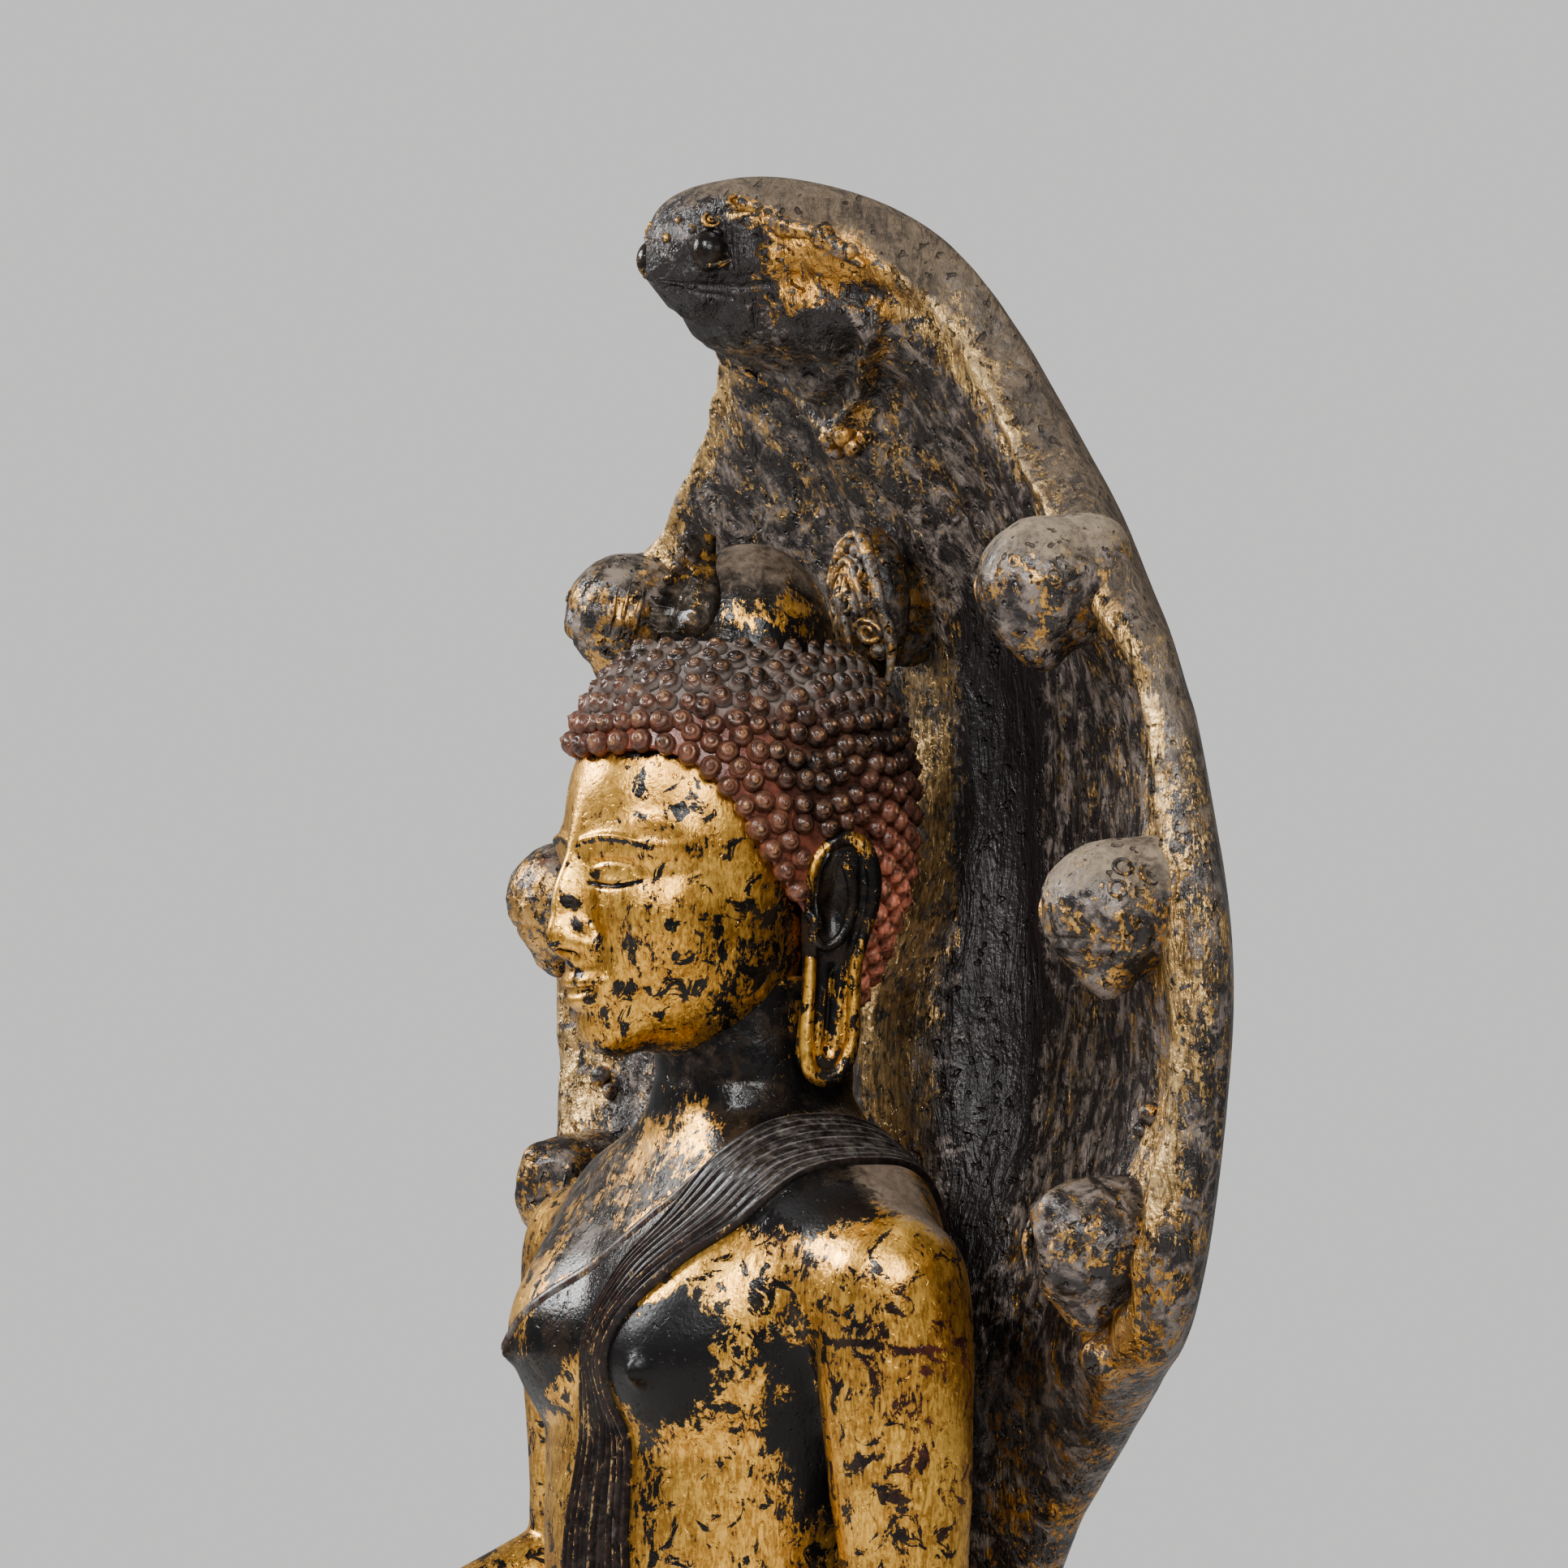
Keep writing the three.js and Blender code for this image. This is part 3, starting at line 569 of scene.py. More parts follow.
def torsoSkin():
    # each level is an ellipse squared a little; the breasts swell from its front, steep below and long above
    z = np.linspace(body["torso"][0][0], body["torso"][-1][0], body["rings"])[:, None]
    angle = turns(body["rings"])
    halfWidth, front, back = columnsAt(body["torso"], z)
    x = halfWidth * power(np.cos(angle), body["squareness"])
    y = power(np.sin(angle), body["squareness"])
    y = y * np.where(y < 0, front, back)
    out, height, rise = body["breast"]
    aside, dz = np.abs(x) - out, z - height
    reach = np.hypot(aside / 0.42, dz / np.where(dz > 0, 0.5, 0.3))
    swelling = rise * np.clip(1 - reach**2, 0, 1) ** 1.4
    nipple = 0.034 * bell(np.hypot(aside, dz + 0.04), 0.03)
    navel = -0.04 * bell(np.hypot(x / 0.04, (z - 1.42) / 0.05), 1)
    y = np.where(y < 0, y - swelling - nipple - navel, y)
    groove = sum(depth * bell(z - crease + 0.12 * y, 0.018) for crease, depth in body["neckCreases"])
    pull = 1 - groove * (z > 3) / np.maximum(halfWidth, 0.1)
    return skinOf(placed(together(x * pull, y * pull, z)))


def armSkins(side, elbow, wrist):
    x, y, z = body["shoulder"]
    start, inner = (side * x, y, z), (side * 0.5, 0.0, z)
    return [limbInFaces([inner, start], body["collarRadii"], 48, 40, 1, (0, 1, 0)),
            limbInFaces([start, elbow], body["upperArm"], 48, 60, 1, (0, 1, 0)),
            limbInFaces([elbow, wrist], body["forearm"], 48, 60)]


def handSkins(hand):
    forward, spread, normal = (unit(hand[key]) for key in ("forward", "spread", "normal"))
    palm, curl = hands["palm"], hand["curl"]

    def at(ahead, across, up):
        return np.array(hand["wrist"]) + ahead * forward + across * spread + up * normal

    middle = [at(-0.02, 0, 0), at(0.2, 0, 0), at(palm, 0, 0)]
    parts = [limbInFaces(middle, hands["palmRadii"], 36, 24, 0.45, normal)]
    for k, length in enumerate(hands["fingers"]):
        across = (1.5 - k) * hands["spacing"]
        points = [at(palm, across, 0), at(palm + length / 2, across * 1.06, -curl * length * 0.3),
                  at(palm + length, across, -curl * length)]
        parts.append(limbInFaces(points, hands["fingerRadii"], 16, 24, 1, normal))
    thumb = [at(0.12, 0.14, 0), at(0.28, 0.25, 0.02), at(0.47, 0.27, 0.03)]
    return parts + [limbInFaces(thumb, hands["thumbRadii"], 16, 24, 1, normal)]


def chestEdge(x):
    # height of the robe's upper edge over the chest, from the neck's left side down to the right armpit
    return np.interp(x, [-0.95, -0.55, -0.1, 0.3, 0.6], [2.1, 2.32, 2.66, 2.98, 3.15])


bodyPatches = {
    "gilding": [
        [0.1, -0.45, 3.08, 0.15, 0.25, 0.08, 0.55], [0.0, -0.3, 3.4, 0.5, 0.4, 0.14, -0.7],
        [-0.3, -0.55, 2.36, 0.07, 0.3, 0.4, 0.2], [-0.47, -0.55, 2.5, 0.17, 0.3, 0.11, 1.3],
        # the patches at 0.84 and 0.75 take gold from the gap between arm and torso: black lacquer there, with
        # painted shade
        [0.84, -0.05, 2.0, 0.1, 0.6, 0.9, -0.6], [0.3, -0.5, 1.9, 0.2, 0.3, 0.5, -0.12],
        [0.75, -0.3, 1.9, 0.1, 0.25, 0.45, -0.25], [0.72, -0.4, 2.5, 0.1, 0.3, 0.14, 0.2],
        [0.25, 0.2, 3.25, 0.25, 0.25, 0.2, -0.8], [0.0, 0.4, 2.0, 1.0, 0.3, 1.2, -0.25]],
    "soot": [
        [0.47, -0.6, 2.37, 0.21, 0.3, 0.21, 1.45], [0.6, -0.5, 2.52, 0.11, 0.3, 0.1, 0.4],
        # the patches at 0.83 and 0.77 darken the gap between arm and torso and the torso's side beside it:
        # black lacquer, with painted shade where the arm shades the torso
        [0.82, -0.2, 2.87, 0.22, 0.17, 0.09, 1.1], [0.83, -0.1, 1.75, 0.07, 0.6, 0.72, 1.2],
        [0.77, -0.28, 1.85, 0.075, 0.25, 0.45, 0.8], [0.0, 0.05, 3.3, 0.6, 0.36, 0.22, 0.75],
        [1.18, -0.1, 2.1, 0.06, 0.3, 0.2, 0.4], [-0.4, -0.62, 2.24, 0.2, 0.3, 0.1, 0.9],
        [0.2, -0.4, 2.86, 0.12, 0.3, 0.05, 0.4]],
    "dust": [
        [0.95, 0.06, 2.88, 0.3, 0.16, 0.14, 0.75], [1.16, 0.15, 2.4, 0.2, 0.12, 0.4, 0.35],
        [0.0, -0.3, 3.35, 0.4, 0.3, 0.12, 0.45]],
    "bole": [[1.1, -0.2, 1.5, 0.12, 0.1, 0.12, 1.0], [1.2, 0.05, 2.3, 0.2, 0.2, 0.3, 0.5]],
}


def buildUpperBody():
    left = armSkins(1, body["leftElbow"], body["leftWrist"])
    right = armSkins(-1, body["rightElbow"], body["rightWrist"])
    both = handSkins(hands["left"]) + handSkins(hands["right"])
    piece = pieceFrom("body_and_arms", torsoSkin(), *left, *right, *both)
    fused(piece, body["cell"])
    x, y, z = inFaces(pointsOf(piece)).T
    armpit = bell(np.hypot((np.abs(x) - 0.86) / 0.3, (z - 2.62) / 0.45), 1)
    relaxed(piece, 0.9, 4)
    relaxed(piece, np.clip(1.3 * armpit * step(2.3, 2.6, z), 0, 1), 50, False)  # softens the folds there
    x, y, z = inFaces(pointsOf(piece)).T
    out, height, radius, near, far = body["nipple"]
    nipple = bell(np.hypot(np.abs(x) - out, z - height), radius) * (y < -0.3)
    swell(piece, 0.0007 * lumps(pointsOf(piece), 0.028) + np.where(x > 0, near, far) * nipple)
    print("body and arms:", len(piece.data.polygons), "faces")
    spot = inFaces(pointsOf(piece))
    x, y, z = spot.T
    below = chestEdge(x) - z  # how far under the robe's edge
    onChest = step(0.1, -0.2, y) * step(0.95, 0.75, np.abs(x))
    overEdge = onChest * step(0.03, -0.03, below)
    underEdge = onChest * step(0.0, 0.03, below) * step(0.42, 0.25, below)
    crack = step(0.011, 0.004, np.abs(z - 2.47 - 0.05 * lumps(spot * (1, 1, 0.2), 0.22, 5)))
    crack *= step(0.83, 0.88, np.abs(x))
    gilding = 0.84 - 0.7 * crack - 0.75 * underEdge - 0.56 * overEdge
    dust = 0.8 * step(0.4, 0.95, normalsOf(piece)[:, 2]) * step(-0.2, 0.1, y)
    dust += 0.5 * overEdge * step(3.2, 3.0, z)
    worn = {name: patches(spot, spots) for name, spots in bodyPatches.items()}
    worn["gilding"] += gilding
    worn["dust"] += dust
    withMasks(piece, **worn)
    return piece


upperBody = buildUpperBody()

# Legs.

legs = {
    "thigh": [0.46, 0.4, 0.31], "shin": [0.31, 0.27, 0.21, 0.15],
    "leftThigh": [(0.42, 0.02, 0.4), (1.76, -0.78, 0.3)],
    "rightThigh": [(-0.42, 0.02, 0.4), (-1.76, -0.78, 0.34)],
    "leftShin": [(1.78, -0.8, 0.3), (0.9, -1.2, 0.25), (0, -1.3, 0.2), (-0.75, -1.28, 0.17)],
    "rightShin": [(-1.78, -0.8, 0.36), (-0.95, -1.08, 0.48), (0, -1.05, 0.6), (0.72, -0.86, 0.7)],
    # heel, ball, the way the sole faces
    "rightFoot": [(0.78, -0.86, 0.8), (1.32, -0.6, 0.84), (-0.1, -0.15, 1)],
    "leftFoot": [(-0.78, -1.26, 0.2), (-1.3, -1.0, 0.16), (0, 0.3, 1)],
    "footRadii": [0.17, 0.2], "bigToe": 0.058, "toe": 0.046, "toeLength": 0.27, "toeSpacing": 0.085,
    "cell": 0.005,
}


def footSkins(heel, ball, sole, toes):
    heel, ball, sole = np.array(heel), np.array(ball), unit(sole)
    parts = [limbInFaces([heel, ball], legs["footRadii"], 36, 24, 0.6, sole)]
    forward = unit(ball - heel)
    across = unit(np.cross(forward, sole))
    for k in toes:
        root = ball + across * legs["toeSpacing"] * k
        tip = root + forward * (legs["toeLength"] - 0.02 * abs(k - 2))
        radius = legs["bigToe"] if k == 2 else legs["toe"]
        parts.append(limbInFaces([root, tip], [radius, radius * 0.92, radius], 16, 16))
    return parts


def buildLegs():
    piece = pieceFrom(
        "crossed_legs",
        *(limbInFaces(legs[name], legs["thigh"], 60, 60) for name in ("leftThigh", "rightThigh")),
        *(limbInFaces(legs[name], legs["shin"], 48, 90) for name in ("leftShin", "rightShin")),
        *footSkins(*legs["rightFoot"], (-2, -1, 0, 1, 2)), *footSkins(*legs["leftFoot"], ()))
    fused(piece, legs["cell"])
    relaxed(piece, 0.9, 6)
    points = pointsOf(piece)
    points[:, 2] = np.maximum(points[:, 2], layout["seat"])
    movePoints(piece, points)
    spot = inFaces(points)
    withMasks(piece, gilding=0.76 + 0.2 * lumps(spot, 0.7, 3) - 0.25 * step(0.5, 0.1, spot[:, 2]),
              dust=0.7 * step(0.4, 1.0, normalsOf(piece)[:, 2]))
    print("legs:", len(piece.data.polygons), "faces")
    return piece


lowerBody = buildLegs()

# Shawl and robe edge.

shawl = {
    "edges": [  # inner edge, outer edge, down the chest and over the shoulder to the back, in faces
        [-0.08, -0.66, 1.0, 0.29, -0.63, 1.0], [-0.08, -0.645, 1.5, 0.29, -0.6, 1.5],
        [-0.05, -0.625, 2.0, 0.27, -0.61, 2.0], [0.02, -0.62, 2.35, 0.26, -0.6, 2.32],
        [0.12, -0.56, 2.62, 0.47, -0.52, 2.66], [0.26, -0.42, 2.86, 0.63, -0.38, 2.84],
        [0.36, -0.24, 3.04, 0.72, -0.2, 3.0], [0.4, 0.0, 3.14, 0.74, 0.0, 3.04],
        [0.38, 0.26, 3.06, 0.71, 0.24, 3.0], [0.36, 0.4, 2.78, 0.66, 0.38, 2.75],
        [0.3, 0.44, 2.3, 0.6, 0.38, 2.3], [0.26, 0.36, 1.6, 0.55, 0.28, 1.6]],
    # each fold is a fine ridge: place across the strip, half width, height over the strip's own thickness
    "ridges": [[0.03, 0.02, 0.8], [0.13, 0.022, 0.8], [0.24, 0.025, 1.0], [0.36, 0.022, 0.7],
               [0.5, 0.026, 0.9], [0.63, 0.022, 0.7], [0.74, 0.026, 1.0], [0.85, 0.022, 0.8],
               [0.965, 0.022, 1.0]],
    "thickness": 0.0042, "ridge": 0.0026, "depth": 0.012, "along": 300, "across": 120, "wander": 0.022,
}
robeHem = {
    "line": [[0.4, -0.3, 3.08], [0.3, -0.42, 2.98], [-0.1, -0.6, 2.66], [-0.55, -0.7, 2.32],
             [-0.82, -0.35, 2.1], [-0.86, 0.0, 2.02], [-0.8, 0.3, 2.1], [-0.4, 0.5, 2.4],
             [0.1, 0.5, 2.8], [0.35, 0.4, 3.0]],
    "halfWidth": 0.022, "thickness": 0.0022, "depth": 0.004, "along": 260, "across": 14,
}


def buildShawl():
    # a strip carried along its two edges and laid on the body; fine ridges run down it, a step beside each
    edges = curveOf(shawl["edges"], shawl["along"])
    v = np.linspace(0, 1, shawl["across"])[None] + np.zeros((shawl["along"], 1))
    inner, outer = edges[:, None, :3], edges[:, None, 3:]
    laid = laidOn(placed(inner + v[..., None] * (outer - inner)), upperBody)
    for _ in range(3):  # evens out the folds of the laid strip
        smoothedAlong(laid)
        smoothedAlong(laid.swapaxes(0, 1))
    normals = gridNormals(laid, laid - placed([0.2, 0, 2.3]))
    run = np.arange(shawl["along"])[:, None] / 50
    lift, crest = np.zeros(v.shape), np.zeros(v.shape)
    for number, (place, halfWidth, height) in enumerate(shawl["ridges"]):
        inside = 0.06 < place < 0.94
        centre = place + shawl["wander"] * inside * lumps(together(run, 0 * v + number * 3.3, 0), 1.0, 2)
        strength = height * (0.8 + 0.3 * lumps(together(run * 1.5, 0 * v + number * 2.1, 0), 1.0, 4))
        bump = strength * bell(v - centre, halfWidth)
        slope = 0.45 * strength * step(-0.09, 0.0, v - centre) * step(halfWidth, 0.0, v - centre)
        crest = np.maximum(crest, bump)
        lift = np.maximum(lift, np.maximum(bump, slope))
    fading = 0.75 + 0.55 * step(3.02, 2.7, inFaces(laid)[..., 2])  # the folds are fainter over the shoulder
    hem = np.maximum(step(0.02, 0.0, v), step(0.98, 1.0, v))
    lift = shawl["thickness"] * (0.75 - 0.5 * hem) + shawl["ridge"] * lift * fading * (1 - 0.6 * hem)
    upper = laid + normals * lift[..., None]
    lower = (laid - normals * shawl["depth"])[:, ::-7]  # the buried side needs fewer columns
    piece = pieceFrom("pleated_shawl", skinOf(np.concatenate([upper, lower], 1)))
    ridge = np.append(np.concatenate([crest * fading, 0 * lower[..., 0]], 1).ravel(), [0, 0])
    spot = inFaces(pointsOf(piece))
    height = spot[:, 2]
    chest = step(2.75, 2.4, height) * (spot[:, 1] < 0)
    upward = step(0.2, 0.95, normalsOf(piece)[:, 2]) * step(2.6, 3.0, height)
    withMasks(
        piece, dust=(0.31 + 0.38 * ridge) * upward + 0.16 + 0.2 * ridge, bole=0.08 * ridge,
        gilding=0.02 + (0.2 + 0.25 * chest) * step(0.55, 0.95, ridge)
        + patches(spot, [[-0.02, -0.6, 1.9, 0.1, 0.3, 0.5, 0.12]]))
    return piece


def buildRobeEdge():
    # a flat hem along the robe's upper edge: across the chest, under the right arm and up the back
    centres = curveOf(robeHem["line"], robeHem["along"])
    outward = unit(centres * (1, 1, 0))[:, None]
    side = unit(np.cross(unit(np.gradient(centres, axis=0)), outward[:, 0]))
    v = np.linspace(-1, 1, robeHem["across"])[:, None]
    laid = laidOn(placed(centres[:, None] + robeHem["halfWidth"] * v * side[:, None]), upperBody)
    smoothedAlong(laid)
    normals = gridNormals(laid, outward)
    lift = robeHem["thickness"] * (1 - np.abs(v) ** 3)
    lower = (laid - normals * robeHem["depth"])[:, ::-13]
    piece = pieceFrom("robe_edge", skinOf(np.concatenate([laid + normals * lift, lower], 1)))
    withMasks(piece, gilding=0.2 + 0.15 * lumps(inFaces(pointsOf(piece)), 0.3, 5), dust=0.5, bole=0.1)
    return piece


pleatedShawl, robeEdge = buildShawl(), buildRobeEdge()
print("shawl and robe edge made")

# Hair.

hair = {
    "centre": (0, -0.045, 4.2), "across": 0.48, "ahead": 0.605, "up": 0.57, "down": 0.92,
    "knotRadius": 0.285, "knotBase": 4.62, "knotTop": 5.035,
    "knotBand": [4.78, 0.03, 0.004],  # height, width, rise
    "line": [4.335, 4.345, 4.34, 4.23, 3.93, 3.7, 3.52, 3.45, 3.43, 3.42],  # heights from brow to nape
    "curlRadius": 0.0082, "curlHeight": 0.0084, "pitch": 0.0168, "curls": 384, "sides": 12,
    "sizes": [0.9, 1.06], "tip": 1.2,  # shares of a curl's own size
    # angles from the hairline and from the knot's foot: the two rows that stay, and the room round the others
    "firstRow": 0.04, "lastRow": 0.1, "clear": [0.16, 0.2],
    "crowd": 1.25, "shove": 0.35,  # how near curls push one another, in pitches, and how far
    # radius and height of a curl's rings, as shares of its own
    "profile": [[1.0, -0.3], [0.98, 0.22], [0.82, 0.6], [0.52, 0.88], [0.2, 1.0]],
    "seed": 11, "turnSeed": 5, "rounds": 160, "capColumns": 150, "capRows": 50,
    "red": [
        # the first patch makes the red strong at the lower back, which lies in shade: real red, raised as
        # painted light
        [0.3, 0.4, 3.68, 0.35, 0.35, 0.28, 1.5], [0.34, 0.0, 4.42, 0.07, 0.1, 0.09, 1.0],
        [-0.3, 0.4, 3.8, 0.35, 0.35, 0.3, 0.6], [0.42, 0.3, 4.05, 0.15, 0.2, 0.2, 0.3],
        [0.37, -0.13, 4.42, 0.07, 0.1, 0.08, 0.6]],
}
hairTurns = np.linspace(0, np.pi, 60)
hairHeights = curveOf(np.array(hair["line"])[:, None], 60)[:, 0]
hairTop = math.acos(hair["knotRadius"] / hair["ahead"])  # latitude of the knot's foot
lastRow = hairTop - hair["lastRow"]


def hairEdge(turn):
    height = np.interp(np.abs((turn + np.pi) % (2 * np.pi) - np.pi), hairTurns, hairHeights)
    low = height < hair["centre"][2]
    return np.arcsin(np.clip((height - hair["centre"][2]) / np.where(low, hair["down"], hair["up"]), -1, 1))


def onHair(turn, latitude, swelling=1.0):
    # an ellipsoid longer below its middle than above
    up = np.where(latitude < 0, hair["down"], hair["up"])
    cx, cy, cz = hair["centre"]
    return np.stack([
        cx + swelling * hair["across"] * np.cos(latitude) * np.sin(turn),
        cy - swelling * hair["ahead"] * np.cos(latitude) * np.cos(turn),
        cz + swelling * up * np.sin(latitude)], -1)


def curlPlaces():
    # a row along the hairline and a row round the knot stay; the rest push one another apart
    pitch = hair["pitch"] / layout["face"]

    def evenRow(latitudeAt):
        turn = np.linspace(0, 2 * np.pi, 2001)
        line = onHair(turn, latitudeAt(turn))
        length = np.concatenate([[0], np.cumsum(np.linalg.norm(np.diff(line, axis=0), axis=1))])
        count = int(length[-1] / pitch)
        return np.interp(np.arange(count) / count * length[-1], length, turn)

    low = evenRow(lambda turn: hairEdge(turn) + hair["firstRow"])
    high = evenRow(lambda turn: 0 * turn + lastRow)
    free = np.random.default_rng(hair["seed"]).uniform(0, 1, (hair["curls"], 2))
    turn = np.concatenate([low, high, free[:, 0] * 2 * np.pi])
    edge = hairEdge(turn[len(low) + len(high):])
    latitude = np.concatenate([
        hairEdge(low) + hair["firstRow"], 0 * high + lastRow, edge + (hairTop - edge) * free[:, 1]])
    held = np.arange(len(turn)) < len(low) + len(high)
    cx, cy, cz = hair["centre"]
    for _ in range(hair["rounds"]):
        spot = onHair(turn, latitude)
        gap = spot[:, None] - spot[None]
        distance = np.linalg.norm(gap, axis=-1) + np.eye(len(spot)) * 9
        push = (unit(gap) * np.clip(hair["crowd"] * pitch - distance, 0, None)[..., None]).sum(1)
        spot = spot + push * hair["shove"] * ~held[:, None]
        x, y = (spot[:, 0] - cx) / hair["across"], -(spot[:, 1] - cy) / hair["ahead"]
        turn = np.where(held, turn, np.arctan2(x, y))
        rise = spot[:, 2] - cz
        moved = np.arctan2(rise / np.where(rise < 0, hair["down"], hair["up"]), np.hypot(x, y))
        below, above = hair["clear"]
        latitude = np.where(held, latitude, np.clip(moved, hairEdge(turn) + below, hairTop - above))
    return turn, latitude


def capSkin():
    turn = turns(hair["capColumns"])
    share = np.concatenate([[0, 0], np.linspace(0, 1, hair["capRows"])])[:, None]
    swelling = np.concatenate([[0.9, 0.975], np.ones(hair["capRows"])])[:, None]
    edge = hairEdge(turn)
    rings = onHair(turn + 0 * share, edge + (hairTop - edge) * share, swelling)
    return skinOf(placed(rings), placed(hair["centre"]))


def buildHair():
    # a cap, and on it the curls, each a round bead of five rings with a small sharp tip
    turn, latitude = curlPlaces()
    spot = onHair(turn, latitude)
    underEar = (spot[:, 1] > -0.08) & (spot[:, 1] < 0.2) & (spot[:, 2] < 4.06)
    turn, latitude, spot = turn[~underEar], latitude[~underEar], spot[~underEar]
    nearby = unit(onHair(turn + 0.01, latitude) - spot)
    outward = unit(np.cross(nearby, onHair(turn, latitude + 0.01) - spot))
    outward *= np.sign((outward * (spot - hair["centre"])).sum(-1, keepdims=True))
    above = np.cross(outward, nearby)
    chance = np.random.default_rng(hair["turnSeed"])
    size = chance.uniform(*hair["sizes"], (len(spot), 1, 1, 1))
    twist = chance.uniform(0, 2 * np.pi, (len(spot), 1, 1))
    profile, angle = np.array(hair["profile"]), turns(hair["sides"])
    reach, height = profile[:, :1], profile[:, 1:]
    across = (hair["curlRadius"] * reach * (1 + 0.04 * np.cos(angle * 2)))[..., None]
    heights = (hair["curlHeight"] * (height + 0.02 * np.sin(angle + 5 * reach)))[..., None]
    nearby, above, up = (vectors[:, None, None] for vectors in (nearby, above, outward))
    rings = placed(spot)[:, None, None] + size * (
        across * np.cos(angle + twist)[..., None] * nearby + across * np.sin(angle + twist)[..., None] * above
        + heights * up)
    tips = placed(spot) + outward * (hair["curlHeight"] * hair["tip"] * size[:, 0, 0])
    cap = capSkin()
    piece = pieceFrom("hair_curls", cap, *(skinOf(*curl) for curl in zip(rings, placed(spot), tips)))

    def perCurl(values, tipValue, capValue):
        curl = np.append(np.broadcast_to(values, (len(profile), hair["sides"])).ravel(), [0, tipValue])
        return np.concatenate([np.full(len(cap[0]), capValue), np.tile(curl, len(spot))])

    points = inFaces(pointsOf(piece))
    x, y, z = points.T
    around = np.arctan2(np.abs(x), -y)
    nearLine = step(0.34, 0.05, z - np.interp(around, hairTurns, hairHeights)) * step(2.0, 1.3, around)
    withMasks(
        piece, curlX=perCurl(reach * np.cos(angle), 0, 3.0), curlY=perCurl(reach * np.sin(angle), 0, 3.0),
        crest=perCurl(height, hair["tip"], -0.1), gilding=nearLine,
        bole=np.clip(0.12 * nearLine + patches(points, hair["red"]), 0, 1),
        dust=0.42 * step(4.34, 4.56, z) + 0.12 * step(0.3, 0.9, normalsOf(piece)[:, 2]))
    print("hair:", len(spot), "curls")
    return piece


def buildKnot():
    # a dome: a quarter of an ellipse spun round, with a low band round it
    t = np.linspace(0, np.pi / 2, 60)[:-1, None]
    base, top = hair["knotBase"], hair["knotTop"]
    bandHeight, bandWidth, bandRise = hair["knotBand"]
    height = base + (top - base) * np.sin(t)
    radius = hair["knotRadius"] * np.cos(t) ** 0.9 + bandRise * bell(height - bandHeight, bandWidth)
    rings = placed(together(radius * np.cos(turns(120)), radius * np.sin(turns(120)), height))
    piece = pieceFrom("hair_knot", skinOf(rings, placed([0, 0, base]), placed([0, 0, top])))
    withMasks(
        piece, dust=0.55 * step(0.1, 0.8, normalsOf(piece)[:, 2]) + 0.2,
        gilding=0.14 + patches(inFaces(pointsOf(piece)), [
            [0.24, -0.09, 4.8, 0.14, 0.16, 0.07, 0.62], [0.25, 0.1, 4.8, 0.1, 0.08, 0.06, 0.3],
            [-0.2, 0.1, 4.75, 0.2, 0.2, 0.07, 0.4]]))
    return piece


leaf = {
    "height": 0.335, "halfWidth": 0.155, "thickness": 0.05, "lean": math.radians(14), "foot": (-0.25, 4.7),
    "beads": 26,
    "outline": [[0, 0], [0.42, 0.0], [0.86, 0.12], [1.0, 0.34], [0.78, 0.6], [0.28, 0.86], [0.0, 1.12],
                [-0.28, 0.86], [-0.78, 0.6], [-1.0, 0.34], [-0.86, 0.12], [-0.42, 0.0], [0, 0]],
    "middle": (0, 0.42), "columns": 160, "frontRings": 34, "backRings": 8,
}


def buildLeaf():
    # the outline, shrunk ring by ring to its middle: a beaded rim, a hollow and a boss in front, a plain back
    around = curveOf(leaf["outline"], leaf["columns"] + 1)[:-1]
    share = np.append(np.linspace(0.03, 1, leaf["frontRings"]), np.linspace(1, 0.05, leaf["backRings"]))
    share = share[:, None]
    flat = leaf["middle"] + (around - leaf["middle"]) * share[..., None]
    bead = 0.012 * np.abs(np.cos(leaf["beads"] / 2 * turns(leaf["columns"]))) ** 0.6
    relief = (0.028 + 2.6 * bead) * bell(share - 0.86, 0.08)
    relief += 0.03 * bell(share, 0.26) - 0.016 * bell(share - 0.6, 0.12)
    front = np.arange(len(share))[:, None] < leaf["frontRings"]
    half = leaf["thickness"] * 0.5
    depth = np.where(front, -half - relief * step(1.0, 0.93, share), half)
    depth = np.where((share > 0.99) & front, -half * 0.7, depth)
    z = flat[..., 1] * leaf["height"]
    cos, sin = math.cos(leaf["lean"]), math.sin(leaf["lean"])
    foot, rise = leaf["foot"]
    x, y = flat[..., 0] * leaf["halfWidth"], foot + depth * cos + z * sin
    piece = pieceFrom("knot_leaf", skinOf(placed(together(x, y, rise + z * cos - depth * sin))))
    spot = inFaces(pointsOf(piece))
    withMasks(piece, gilding=0.2 + 0.1 * lumps(spot, 0.1, 4) + 0.3 * step(4.88, 4.98, spot[:, 2]), dust=0.46)
    return piece


# Head.

